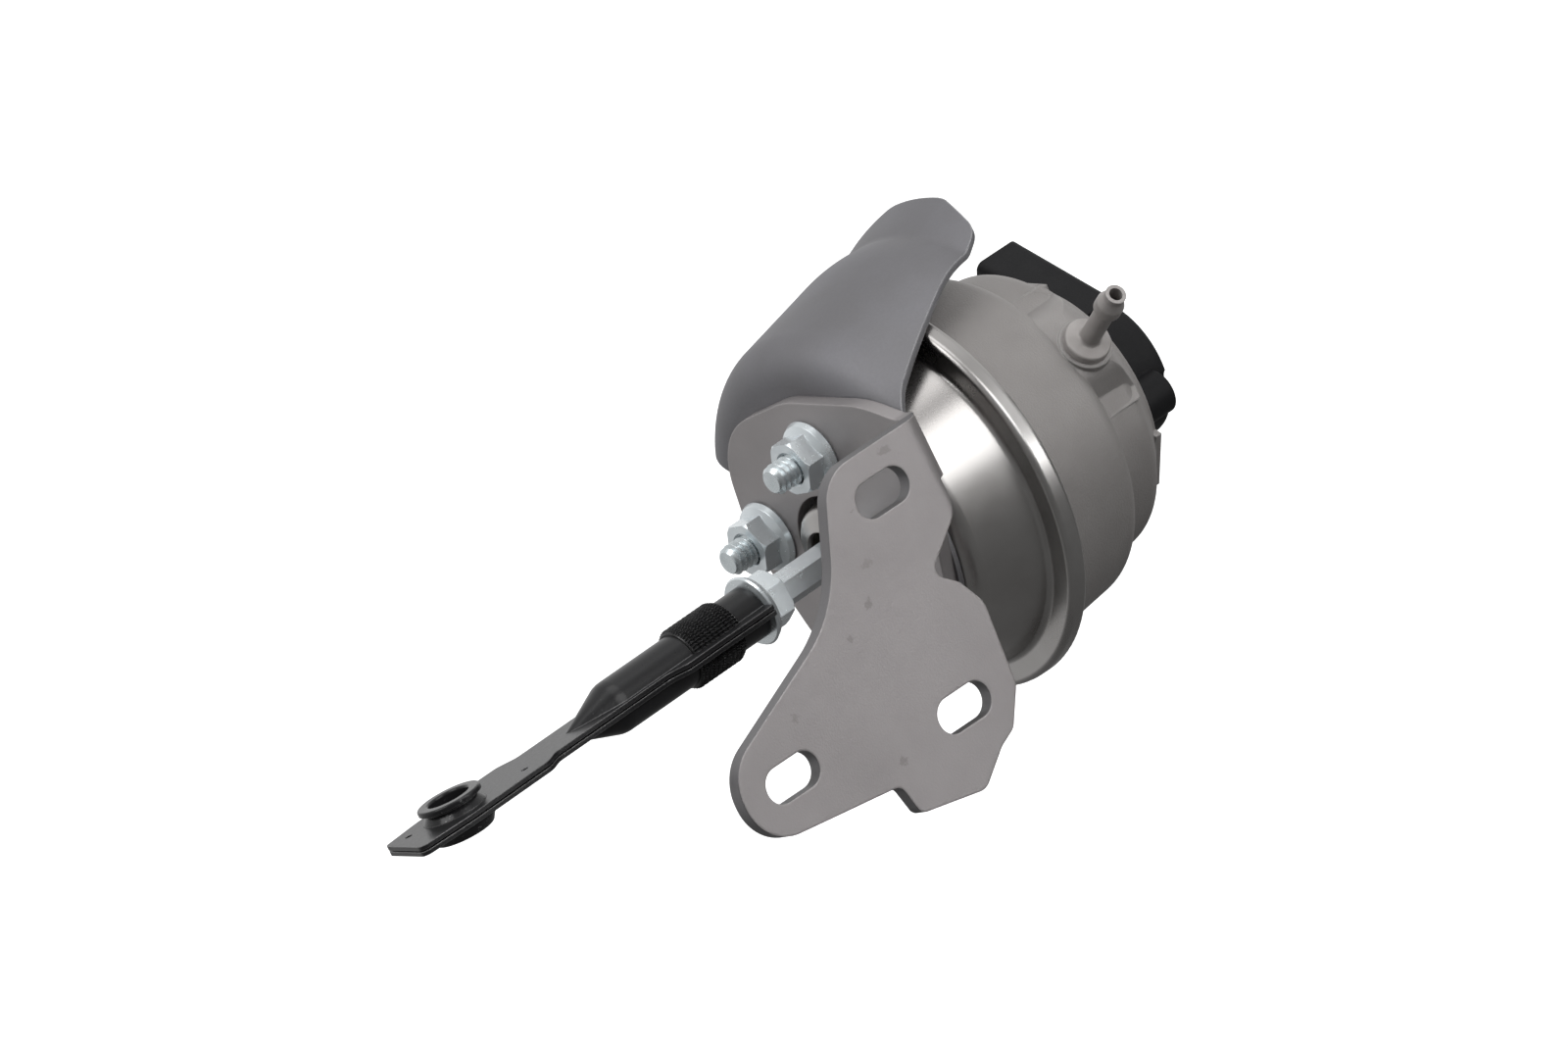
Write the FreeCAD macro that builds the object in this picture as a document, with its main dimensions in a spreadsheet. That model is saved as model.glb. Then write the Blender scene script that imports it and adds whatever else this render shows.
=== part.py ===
import FreeCAD, Part
import math
import os

import Sketcher
from FreeCAD import Placement, Rotation, Vector

# Vacuum wastegate actuator with a position sensor, heat shield, mounting bracket and adjustable rod.
# Frame: the origin lies on the bracket's bolting face, in line with the upper slot and at the height
# of the canister's axis. +X runs along the axis from the rod to the sensor, -Y points out of the
# bolting face and +Z is up. Pieces are drawn in the canister's frame, whose X is 0 at the rolled rim
# and whose Y and Z are 0 on the axis. All sizes are millimetres and degrees.

SIZES = [
    ("slot_to_rim", 36.5, "upper slot's centre to the rolled rim, along the axis"),
    ("axis_depth", 41.0, "bolting face to the canister's axis"),
    ("rest_gap", 0.3, "gap between piston and front shell with no vacuum"),
    ("seat_gap", 0.05, "clearance of pieces that fit into each other"),
    ("thread_radius", 2.95, "M6 stud and rod thread"),
    ("nut_bore", 3.0, "bore of the M6 nuts"),

    ("shell_wall", 1.0, "front shell's sheet"),
    ("shell_depth", 19.4, "rim plane to the front shell's face"),
    ("shell_face_radius", 31.0, "front shell where its face meets its wall"),
    ("shell_neck_radius", 34.7, "front shell where its wall meets the rim"),
    ("shell_corner", 4.0, "front shell's corner radius"),
    ("rim_radius", 40.2, "rolled rim, outside"),
    ("rim_front", 3.2, "rim plane to the front face of the rim"),
    ("rim_bend", 1.2, "outer bend radius of the rim"),
    ("lip_radius", 37.4, "inner edge of the rolled lip"),
    ("boss_mouth", 5.15, "hole for the rod in the front shell's boss"),
    ("boss_top_radius", 8.8, "boss at its top"),
    ("boss_base_radius", 10.2, "boss at its base"),
    ("boss_shoulder", 5.8, "height of the boss's top corner above the face"),
    ("boss_height", 7.4, "height of the boss's mouth above the face"),

    ("rubber", 0.7, "diaphragm's thickness"),
    ("flange_wall", 1.6, "housing flange inside the rolled rim"),
    ("housing_mouth", 36.2, "housing behind its flange, outside"),
    ("tier_one_end", 21.4, "rim plane to the first tier's corner"),
    ("tier_one_radius", 33.7, "first tier at that corner"),
    ("crease_at", 22.6, "rim plane to the crease between the tiers"),
    ("crease_radius", 29.6, "housing at the crease"),
    ("tier_two_at", 30.8, "rim plane to the second tier's corner"),
    ("tier_two_radius", 29.3, "second tier at that corner"),
    ("tier_round", 4.0, "round of both tiers"),
    ("ring_at", 36.5, "rim plane to the housing's back ring"),
    ("ring_radius", 23.2, "housing's back ring"),
    ("housing_end", 37.2, "rim plane to the housing's back face"),
    ("lug_radius", 23.9, "flats of the three lugs on the back ring"),
    ("lug_half", 6.3, "half width of the lugs"),
    ("lug_wall", 1.5, "lugs along the axis"),
    ("lug_angle", 99.0, "first lug's angle, from +Y towards +Z"),
    ("cavity_radius", 33.0, "cavity at its mouth"),
    ("cavity_shoulder", 31.5, "cavity at the end of the first tier"),
    ("cavity_step", 17.9, "rim plane to the cavity's step"),
    ("cavity_small", 26.8, "cavity in the second tier"),
    ("cavity_end", 31.2, "rim plane to the cavity's end"),
    ("sensor_bore", 13.2, "bore in the housing for the sensor's spigot"),

    ("nipple_angle", 62.0, "nipple's direction, turned from up about the axis"),
    ("nipple_at", 25.0, "rim plane to the nipple's axis"),
    ("nipple_shift", -2.0, "nipple's offset from the radial line"),
    ("nipple_seat", 34.1, "canister axis to the nipple's seat"),
    ("nipple_length", 18.1, "nipple above its seat"),
    ("nipple_stem", 2.0, "stem radius"),
    ("nipple_bulb", 2.7, "radius of the bulb that holds the hose"),
    ("nipple_bore", 1.3, "air passage radius"),
    ("nipple_collar", 4.5, "collar radius at the seat"),
    ("nipple_root", 2.6, "radius of the end pressed into the housing"),
    ("pad_length", 14.0, "nipple pad along the axis"),
    ("pad_span", 58.0, "angle that the nipple pad covers at its root"),
    ("pad_half", 7.2, "half width of the pad's top"),
    ("pad_round", 5.0, "round of the pad's shoulder"),

    ("plate_wall", 3.0, "bracket's sheet"),
    ("plate_hole", 11.0, "hole in the bracket for the boss and rod"),
    ("plate_disc", 26.5, "bracket's round side about the axis"),
    ("plate_top", 30.2, "bracket's top edge above the axis"),
    ("plate_shoulder", 23.2, "top of the bend above the axis"),
    ("bend_low", 2.4, "lower end of the bend above the axis"),
    ("bend_inside", 2.0, "inner radius of the bracket's bend"),
    ("slot_width", 7.0, "width of the three mounting slots"),
    ("slot_length", 12.9, "length of the three mounting slots"),
    ("slot_upper_z", 14.5, "upper slot above the axis"),
    ("slot_far_x", -44.9, "far slot from the upper slot, along the axis"),
    ("slot_far_z", -20.7, "far slot from the axis height"),
    ("slot_low_x", -4.6, "low slot from the upper slot, along the axis"),
    ("slot_low_z", -27.8, "low slot from the axis height"),
    ("far_end", 12.1, "far slot's centre to the bracket's far end"),
    ("far_round", 9.5, "round of the bracket's far end"),
    ("flange_margin", 7.0, "measure of the metal round the flange's slots"),
    ("relief_top", 10.5, "top of the cut at the bend's lower end, above the axis"),

    ("shield_wall", 1.0, "heat shield's sheet"),
    ("shield_disc", 29.0, "heat shield's front disc"),
    ("shield_corner_radius", 38.9, "shield where its face meets its side"),
    ("shield_corner", 8.0, "round between the shield's face and side"),
    ("shield_wide_at", 10.0, "rim plane to the shield's widest part"),
    ("shield_wide_radius", 45.0, "shield's widest part"),
    ("shield_crease_at", 16.5, "rim plane to the shield's crease"),
    ("shield_crease_in", 0.7, "how far the crease lies inside the widest part"),
    ("shield_lip_at", 25.8, "rim plane to the flared lip's edge"),
    ("shield_flare", 3.4, "how far the lip flares outside the crease"),
    ("shield_middle", 90.0, "angle of the shield's middle, from +Y towards +Z"),
    ("shield_span", 114.0, "angle that the shield's side covers"),
    ("shield_edge_front", 30.9, "half width of the shield's side at its face"),
    ("shield_edge_at", 21.4, "rim plane to the corner of the side's edge"),
    ("shield_edge_rear", 20.0, "half width of the shield's side at that corner"),
    ("shield_edge_lip", 9.0, "half width where the corner's cut meets the lip"),

    ("stud_circle", 20.0, "circle of the two studs"),
    ("stud_upper_angle", 107.0, "upper stud's angle, from +Y towards +Z"),
    ("stud_lower_angle", 13.8, "lower stud's angle"),
    ("stud_end", 34.4, "rim plane to the studs' ends"),
    ("stud_collar", 3.2, "radius of the studs' welded collar"),
    ("nut_flats", 10.0, "across the nuts' flats"),
    ("nut_height", 6.0, "nuts' height with flange"),
    ("nut_flange", 7.1, "nuts' flange radius"),
    ("nut_flange_wall", 1.4, "nuts' flange at its edge"),

    ("cup_radius", 25.4, "piston cup, outside"),
    ("cup_wall", 1.2, "piston cup's sheet"),
    ("cup_depth", 15.3, "piston cup, outside depth"),
    ("cup_corner", 3.0, "piston cup's outer corner radius"),
    ("clamp_wall", 1.1, "clamp plate's thickness"),
    ("clamp_radius", 17.0, "clamp plate, outside"),
    ("loop_at", 1.5, "rim plane to the centre of the diaphragm's loop"),
    ("loop_outside", 32.4, "outer radius of the diaphragm's loop"),

    ("ball_at", 10.5, "rim plane to the ball's centre"),
    ("ball_radius", 4.5, "rod's ball"),
    ("neck_radius", 2.5, "rod's neck behind the ball"),
    ("neck_length", 9.2, "ball's centre to the hexagon"),
    ("socket_neck", 8.1, "socket where it passes the cup"),
    ("socket_flange", 12.0, "socket's flange"),
    ("socket_flange_wall", 2.5, "thickness of the socket's flange"),
    ("socket_radius", 9.0, "socket behind its flange"),
    ("socket_end", 4.0, "rim plane to the socket's rear end"),
    ("socket_mouth", 3.4, "socket's mouth at the ball"),
    ("socket_mouth_out", 5.2, "socket's mouth at its front"),

    ("finger_radius", 5.5, "sensor's finger"),
    ("finger_tip", 10.0, "rim plane to the finger's tip"),
    ("finger_bore", 3.9, "bore for the board in the finger"),
    ("carrier_bore", 6.3, "magnet carrier's bore"),
    ("carrier_radius", 8.4, "magnet carrier's tube"),
    ("carrier_end", 16.0, "rim plane to the carrier's rear end"),
    ("magnet_at", 9.0, "rim plane to the magnet"),
    ("magnet_length", 6.0, "ring magnet's length"),
    ("magnet_radius", 10.6, "ring magnet's radius"),
    ("magnet_shoulder", 1.4, "shoulder that the magnet rests on"),

    ("wire_radius", 1.6, "spring's wire"),
    ("coil_radius", 17.0, "spring's mean radius"),
    ("coil_turns", 5.5, "spring's turns"),
    ("seat_wall", 1.5, "spring seat's sheet"),
    ("seat_radius", 20.5, "spring seat, outside"),
    ("seat_lip", 3.0, "height of the spring seat's lip"),

    ("spigot_radius", 13.1, "sensor's spigot"),
    ("spigot_front", 31.7, "rim plane to the spigot's front"),
    ("groove_at", 33.7, "rim plane to the seal's groove"),
    ("groove_width", 2.0, "seal's groove"),
    ("seal_wire", 0.9, "radius of the seal's section"),
    ("cap_radius", 14.5, "sensor's cap"),
    ("cap_end", 50.5, "rim plane to the cap's rear face"),
    ("cap_round", 1.5, "cap's rear edge"),
    ("cap_cavity", 11.0, "cavity behind the board"),
    ("cap_floor", 39.0, "rim plane to that cavity's floor"),
    ("cover_wall", 1.6, "cover's thickness"),
    ("cover_radius", 12.3, "cover, outside"),
    ("ear_circle", 15.2, "circle of the sensor's screws"),
    ("ear_radius", 4.4, "sensor's screw ears"),
    ("ear_angle", 200.0, "first screw's angle, from +Y towards +Z"),
    ("ear_turn", 120.0, "from the first screw to the second"),
    ("ear_end", 44.0, "rim plane to the seats of the screws' heads"),
    ("ear_top", 46.5, "rim plane to the ears' rear face"),
    ("screw_radius", 1.1, "sensor screws' shank"),
    ("screw_head", 2.2, "sensor screws' head"),
    ("screw_head_height", 1.8, "height of that head"),
    ("screw_length", 11.0, "shank below the head"),

    ("plug_angle", -55.6, "plug's direction, turned from up about the axis"),
    ("plug_front", 40.0, "rim plane to the plug housing's front side"),
    ("plug_thickness", 10.5, "plug housing along the axis"),
    ("plug_width", 25.0, "plug housing across"),
    ("plug_top", 16.0, "plug housing's upper side from the canister's axis"),
    ("terminal_root", 5.0, "canister axis to the terminals' inner ends"),
    ("plug_reach", 26.0, "canister axis to the plug's mouth"),
    ("plug_wall", 1.5, "plug housing's wall"),
    ("plug_depth", 12.0, "plug's socket"),
    ("plug_round", 1.5, "plug housing's corners"),
    ("latch_width", 6.0, "latch ramp on the plug housing"),
    ("latch_height", 1.4, "latch ramp above the housing"),
    ("latch_length", 4.0, "latch ramp along the plug"),
    ("pin_pitch", 5.0, "between the plug's terminals"),
    ("pin_wide", 1.6, "terminal's width"),
    ("pin_thick", 0.8, "terminal's thickness"),
    ("pin_reach", 6.0, "terminal's length in the socket"),
    ("board_width", 7.6, "sensor board's width"),
    ("board_wall", 1.2, "sensor board's thickness"),
    ("board_tip_gap", 1.2, "board to the end of the finger's bore"),

    ("rod_droop", 0.95, "how far the rod hangs down in its ball joint"),
    ("rod_flats", 6.0, "across the rod's flats"),
    ("hex_end", 40.0, "rim plane to the end of the rod's hexagon"),
    ("rod_end", 68.0, "rim plane to the rod's threaded end"),
    ("lock_nut_at", 41.0, "rim plane to the lock nut's hexagon end"),
    ("lock_nut_height", 6.2, "lock nut's height with flange"),
    ("link_sheet", 0.85, "link halves' sheet"),
    ("link_gap", 0.15, "half of the gap between the link halves"),
    ("link_tube", 5.3, "link's tube, outside"),
    ("link_near", 47.4, "rim plane to the link's open end"),
    ("link_taper_at", 84.0, "rim plane to the start of the taper"),
    ("link_taper_end", 95.5, "rim plane to the end of the taper"),
    ("link_wide", 8.7, "half width of the link at its ends"),
    ("link_narrow", 6.4, "half width of the link in its middle"),
    ("link_step_near", 70.0, "rim plane to the step behind the windows"),
    ("link_step_far", 103.0, "rim plane to the step before the eye"),
    ("link_step", 3.5, "length of both steps"),
    ("window_near", 54.0, "rim plane to the windows"),
    ("window_far", 66.0, "rim plane to the windows' far end"),
    ("insert_knurl", 6.3, "threaded insert's knurled barrel"),
    ("insert_end", 72.0, "rim plane to the insert's far end"),
    ("insert_chamfer", 0.7, "chamfer of the barrel"),
    ("eye_at", 124.0, "rim plane to the eye's axis"),
    ("eye_bore", 4.1, "eye's bore"),
    ("eye_neck", 5.6, "bush between the link halves"),
    ("eye_rim", 6.4, "bush's upper flange"),
    ("eye_rim_wall", 1.0, "thickness of that flange"),
    ("eye_top", 4.0, "upper flange above the seam"),
    ("eye_foot", 7.0, "bush's lower collar"),
    ("eye_bottom", 3.6, "lower collar below the seam"),
    ("tip_at", 137.4, "rim plane to the link's tip"),
    ("tip_half", 7.8, "half width of the tip"),
    ("tip_skew", 1.4, "how far the tip's edge leans"),
    ("weld_hole", 0.8, "small holes in the upper half"),
]

doc = FreeCAD.newDocument("wastegate_actuator")
sheet = doc.addObject("Spreadsheet::Sheet", "sizes")
for row, (alias, number, meaning) in enumerate(SIZES, start=1):
    sheet.set(f"A{row}", meaning)
    sheet.set(f"B{row}", str(number))
    sheet.setAlias(f"B{row}", alias)
doc.recompute()


class Size:
    """A number, with the expression that ties it to the sheet."""

    def __init__(self, text, value):
        self.text = text
        self.value = value

    def __add__(self, other):
        other = as_size(other)
        return Size(f"({self.text} + {other.text})", self.value + other.value)

    def __sub__(self, other):
        other = as_size(other)
        return Size(f"({self.text} - {other.text})", self.value - other.value)

    def __mul__(self, other):
        other = as_size(other)
        return Size(f"({self.text} * {other.text})", self.value * other.value)

    def __truediv__(self, other):
        other = as_size(other)
        return Size(f"({self.text} / {other.text})", self.value / other.value)

    def __radd__(self, other):
        return as_size(other) + self

    def __rsub__(self, other):
        return as_size(other) - self

    def __rmul__(self, other):
        return as_size(other) * self

    def __neg__(self):
        return Size(f"(0 - {self.text})", -self.value)


def as_size(number):
    """A plain number as a Size."""
    if isinstance(number, Size):
        return number
    return Size(f"({number:.8g})", float(number))


def cosine(angle):
    """Cosine of an angle in degrees."""
    angle = as_size(angle)
    return Size(f"cos({angle.text})", math.cos(math.radians(angle.value)))


def sine(angle):
    """Sine of an angle in degrees."""
    angle = as_size(angle)
    return Size(f"sin({angle.text})", math.sin(math.radians(angle.value)))


class Sizes:
    """Every cell of the sheet as a Size, under its alias."""


s = Sizes()
for alias, number, meaning in SIZES:
    setattr(s, alias, Size(f"sizes.{alias}", float(number)))

parts = []


def new_piece(name, along=0.0, across=0.0, up=0.0, turn=None, hanging=False):
    """Add a body whose frame is the canister's, moved by the given sizes and turned about X.

    A hanging piece belongs to the rod, which droops about its ball's centre.
    """
    body = doc.addObject("PartDesign::Body", name)
    body.Label = name
    if hanging:
        body.Placement = Placement(Vector(), Rotation(Vector(0, -1, 0), s.rod_droop.value))
        body.setExpression("Placement.Rotation.Angle", s.rod_droop.text)
        along = -s.ball_at + s.ball_at * cosine(s.rod_droop)
        up = s.ball_at * sine(s.rod_droop)
    if turn is not None:
        body.Placement = Placement(Vector(), Rotation(Vector(1, 0, 0), turn.value))
        body.setExpression("Placement.Rotation.Angle", turn.text)
    body.setExpression("Placement.Base.x", (s.slot_to_rim + along).text)
    body.setExpression("Placement.Base.y", (s.axis_depth + across).text)
    body.setExpression("Placement.Base.z", as_size(up).text)
    parts.append(body)
    return body


def new_sketch(body, plane, offset=None, turn=None):
    """Add a sketch on one of the body's planes, moved along its normal and turned about X."""
    sketch = body.newObject("Sketcher::SketchObject", f"{body.Name}_sketch")
    for feature in body.Origin.OriginFeatures:
        if feature.Role == plane:
            sketch.AttachmentSupport = [(feature, "")]
    sketch.MapMode = "FlatFace"
    if turn is not None:
        turn = as_size(turn)
        sketch.AttachmentOffset = Placement(Vector(), Rotation(Vector(1, 0, 0), turn.value))
        sketch.setExpression("AttachmentOffset.Rotation.Angle", turn.text)
        if offset is not None:
            sketch.setExpression("AttachmentOffset.Base.y", (-(offset * sine(turn))).text)
            sketch.setExpression("AttachmentOffset.Base.z", (offset * cosine(turn)).text)
    elif offset is not None:
        sketch.setExpression("AttachmentOffset.Base.z", as_size(offset).text)
    return sketch


def constrain(sketch, kind, *items, value=None):
    """Add a constraint, bound to its Size where it has one."""
    if value is None:
        sketch.addConstraint(Sketcher.Constraint(kind, *items))
        return
    value = as_size(value)
    index = sketch.addConstraint(Sketcher.Constraint(kind, *items, value.value))
    sketch.setExpression(f"Constraints[{index}]", value.text)


def fix_point(sketch, geometry, end, corner):
    """Hold a point of the sketch at the corner's place."""
    constrain(sketch, "DistanceX", -1, 1, geometry, end, value=corner[0])
    constrain(sketch, "DistanceY", -1, 1, geometry, end, value=corner[1])


def unit(start, end):
    """Unit vector from one sketch point to another."""
    return (end - start).normalize()


def rounded_corner(before, corner, after, radius):
    """Numbers of the arc that rounds a corner: its two ends and its middle."""
    back = unit(corner, before)
    ahead = unit(corner, after)
    half = math.acos(max(-1.0, min(1.0, back.dot(ahead)))) / 2
    reach = radius / math.tan(half)
    middle_way = (back + ahead).normalize()
    centre = corner + middle_way * (radius / math.sin(half))
    return corner + back * reach, centre - middle_way * radius, corner + ahead * reach


def draw_path(sketch, corners, closed):
    """Draw lines through the corners, with an arc at each corner that has a radius.

    A corner is (x, y) or (x, y, radius). The first and last corner of an open path have no radius.
    Returns the numbers of the lines in the sketch, in order.
    """
    corners = [tuple(as_size(item) for item in corner) for corner in corners]
    points = [Vector(corner[0].value, corner[1].value, 0) for corner in corners]
    count = len(corners)
    starts, ends, middles = list(points), list(points), [None] * count
    for i, corner in enumerate(corners):
        if len(corner) == 3:
            arc = rounded_corner(points[i - 1], points[i], points[(i + 1) % count], corner[2].value)
            ends[i], middles[i], starts[i] = arc
    spans = count if closed else count - 1
    lines = []
    for i in range(spans):
        lines.append(sketch.addGeometry(Part.LineSegment(starts[i], ends[(i + 1) % count])))
    for i, corner in enumerate(corners):
        before = lines[i - 1] if closed or i > 0 else None
        after = lines[i] if i < spans else None
        if len(corner) == 2:
            if before is not None and after is not None:
                constrain(sketch, "Coincident", before, 2, after, 1)
            if after is not None:
                fix_point(sketch, after, 1, corner)
            else:
                fix_point(sketch, before, 2, corner)
            continue
        arc = sketch.addGeometry(Part.Arc(ends[i], middles[i], starts[i]))
        arc_start = sketch.getPoint(arc, 1)
        first, second = (1, 2) if arc_start.distanceToPoint(ends[i]) < 1e-6 else (2, 1)
        constrain(sketch, "Tangent", before, 2, arc, first)
        constrain(sketch, "Tangent", arc, second, after, 1)
        constrain(sketch, "Radius", arc, value=corner[2])
        mark = sketch.addGeometry(Part.Point(points[i]), True)
        fix_point(sketch, mark, 1, corner)
        constrain(sketch, "PointOnObject", mark, 1, before)
        constrain(sketch, "PointOnObject", mark, 1, after)
    return lines


def draw_outline(sketch, corners):
    """Draw a closed outline."""
    draw_path(sketch, corners, closed=True)


def draw_sheet(sketch, corners, wall, side):
    """Draw a bent sheet's section: a path and its copy one wall away, joined at both ends.

    side is 1 where the copy lies to the left of the path and -1 where it lies to the right.
    A bend's radius is the path's own, and the copy's differs from it by the wall.
    """
    wall = as_size(wall)
    corners = [tuple(as_size(item) for item in corner) for corner in corners]
    points = [Vector(corner[0].value, corner[1].value, 0) for corner in corners]
    count = len(points)
    ways = [unit(points[i], points[i + 1]) for i in range(count - 1)]
    normals = [Vector(-way.y, way.x, 0) * side for way in ways]
    copies = [points[0] + normals[0] * wall.value]
    for i in range(1, count - 1):
        both = normals[i - 1] + normals[i]
        copies.append(points[i] + both * (wall.value / (1 + normals[i - 1].dot(normals[i]))))
    copies.append(points[-1] + normals[-1] * wall.value)
    path_lines = draw_path(sketch, corners, closed=False)

    starts, ends, middles, radii = list(copies), list(copies), [None] * count, [None] * count
    for i in range(1, count - 1):
        if len(corners[i]) == 3:
            turn = ways[i - 1].cross(ways[i]).z * side
            radii[i] = corners[i][2] - wall if turn > 0 else corners[i][2] + wall
            arc = rounded_corner(copies[i - 1], copies[i], copies[i + 1], radii[i].value)
            ends[i], middles[i], starts[i] = arc
    lines = []
    for i in range(count - 1):
        line = sketch.addGeometry(Part.LineSegment(starts[i], ends[i + 1]))
        constrain(sketch, "Parallel", line, path_lines[i])
        constrain(sketch, "Distance", line, 1, path_lines[i], value=wall)
        lines.append(line)
    for i in range(1, count - 1):
        if radii[i] is None:
            constrain(sketch, "Coincident", lines[i - 1], 2, lines[i], 1)
            continue
        arc = sketch.addGeometry(Part.Arc(ends[i], middles[i], starts[i]))
        arc_start = sketch.getPoint(arc, 1)
        first, second = (1, 2) if arc_start.distanceToPoint(ends[i]) < 1e-6 else (2, 1)
        constrain(sketch, "Tangent", lines[i - 1], 2, arc, first)
        constrain(sketch, "Tangent", arc, second, lines[i], 1)
        constrain(sketch, "Radius", arc, value=radii[i])
    for path_line, line, end in ((path_lines[0], lines[0], 1), (path_lines[-1], lines[-1], 2)):
        edge = sketch.addGeometry(
            Part.LineSegment(sketch.getPoint(path_line, end), sketch.getPoint(line, end))
        )
        constrain(sketch, "Coincident", edge, 1, path_line, end)
        constrain(sketch, "Coincident", edge, 2, line, end)
        constrain(sketch, "Perpendicular", edge, path_line)


def draw_circle(sketch, x, y, radius):
    """Draw a circle with its centre at x, y."""
    x, y, radius = as_size(x), as_size(y), as_size(radius)
    circle = sketch.addGeometry(Part.Circle(Vector(x.value, y.value, 0), Vector(0, 0, 1), radius.value))
    constrain(sketch, "Radius", circle, value=radius)
    fix_point(sketch, circle, 3, (x, y))


def draw_hexagon(sketch, flats):
    """Draw a hexagon about the sketch's origin, with two flats square to its first axis."""
    reach = flats / (2 * cosine(30))
    draw_outline(sketch, [(reach * sine(60 * i), reach * cosine(60 * i)) for i in range(6)])


def draw_slot(sketch, x, y, length, width):
    """Draw a slot with round ends along the sketch's first axis, centred at x, y."""
    radius = width * 0.49
    long_half, short_half = length / 2, width / 2
    draw_outline(sketch, [
        (x - long_half, y - short_half, radius), (x + long_half, y - short_half, radius),
        (x + long_half, y + short_half, radius), (x - long_half, y + short_half, radius),
    ])


def finish(feature):
    """Recompute the document and stop at a feature that failed."""
    doc.recompute()
    if "Invalid" in feature.State or "Error" in feature.State:
        raise RuntimeError(f"{feature.Name} failed")
    return feature


def add_turned(body, sketch, axis="H_Axis", angle=360, middle=False, reverse=False, cut=False):
    """Turn a sketch about one of its own axes, to add or to cut."""
    kind = "PartDesign::Groove" if cut else "PartDesign::Revolution"
    feature = body.newObject(kind, f"{body.Name}_turned")
    feature.Profile = sketch
    feature.ReferenceAxis = (sketch, [axis])
    if isinstance(angle, Size):
        feature.setExpression("Angle", angle.text)
    else:
        feature.Angle = angle
    feature.Midplane = middle
    feature.Reversed = reverse
    return finish(feature)


def add_pad(body, sketch, length, reverse=False, middle=False, taper=None):
    """Pad a sketch along its normal."""
    feature = body.newObject("PartDesign::Pad", f"{body.Name}_pad")
    feature.Profile = sketch
    feature.setExpression("Length", as_size(length).text)
    feature.Reversed = reverse
    feature.Midplane = middle
    if taper is not None:
        feature.TaperAngle = taper
    return finish(feature)


def add_pocket(body, sketch, length=None, reverse=False, middle=False):
    """Cut a sketch into the body, through everything if no length is given."""
    volume = body.Shape.Volume
    feature = body.newObject("PartDesign::Pocket", f"{body.Name}_pocket")
    feature.Profile = sketch
    if length is None:
        feature.Type = "ThroughAll"
    else:
        feature.setExpression("Length", as_size(length).text)
    feature.Reversed = reverse
    feature.Midplane = middle
    finish(feature)
    if body.Shape.Volume >= volume:
        raise RuntimeError(f"a pocket in {body.Label} cuts nothing")
    return feature


def add_fillet(body, radius, wanted, kind="Fillet"):
    """Round or chamfer the edges of the body that the test accepts."""
    base = body.Tip
    names = [f"Edge{i}" for i, edge in enumerate(base.Shape.Edges, start=1) if wanted(edge)]
    if not names:
        raise RuntimeError(f"no edge to round in {body.Label}")
    feature = body.newObject(f"PartDesign::{kind}", f"{body.Name}_{kind.lower()}")
    feature.Base = (base, names)
    feature.setExpression("Radius" if kind == "Fillet" else "Size", as_size(radius).text)
    return finish(feature)


def turned_piece(name, corners, **place):
    """A body turned about its X axis from a closed outline of (x, radius) corners."""
    body = new_piece(name, **place)
    sketch = new_sketch(body, "XZ_Plane")
    draw_outline(sketch, corners)
    add_turned(body, sketch)
    return body


def add_sphere(body, along, radius, kind="Subtractive"):
    """Add or cut a sphere on the body's X axis."""
    sphere = body.newObject(f"PartDesign::{kind}Sphere", f"{body.Name}_sphere")
    sphere.setExpression("Radius", as_size(radius).text)
    sphere.setExpression("Placement.Base.x", as_size(along).text)
    return finish(sphere)


# Canister

face_x = -s.shell_depth
face_inner_x = face_x + s.shell_wall
rim_front_x = -s.rim_front
bead_front_x = rim_front_x + s.shell_wall
flange_front_x = bead_front_x + s.rubber
flange_back_x = flange_front_x + s.flange_wall
lip_back_x = flange_back_x + s.shell_wall
flange_radius = s.rim_radius - s.shell_wall - s.rest_gap
ear_angles = (s.ear_angle, s.ear_angle + s.ear_turn)


def make_front_shell():
    """Pressed steel half of the canister, with a drawn boss and its rim rolled over the housing."""
    body = new_piece("front_shell")
    sketch = new_sketch(body, "XZ_Plane")
    draw_sheet(sketch, [
        (face_x - s.boss_height, s.boss_mouth),
        (face_x - s.boss_shoulder, s.boss_top_radius, 2.0),
        (face_x, s.boss_base_radius, 1.5),
        (face_x, s.shell_face_radius, s.shell_corner),
        (rim_front_x, s.shell_neck_radius, 1.2),
        (rim_front_x, s.rim_radius, s.rim_bend),
        (lip_back_x, s.rim_radius, s.rim_bend),
        (lip_back_x, s.lip_radius),
    ], s.shell_wall, -1)
    add_turned(body, sketch)


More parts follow.
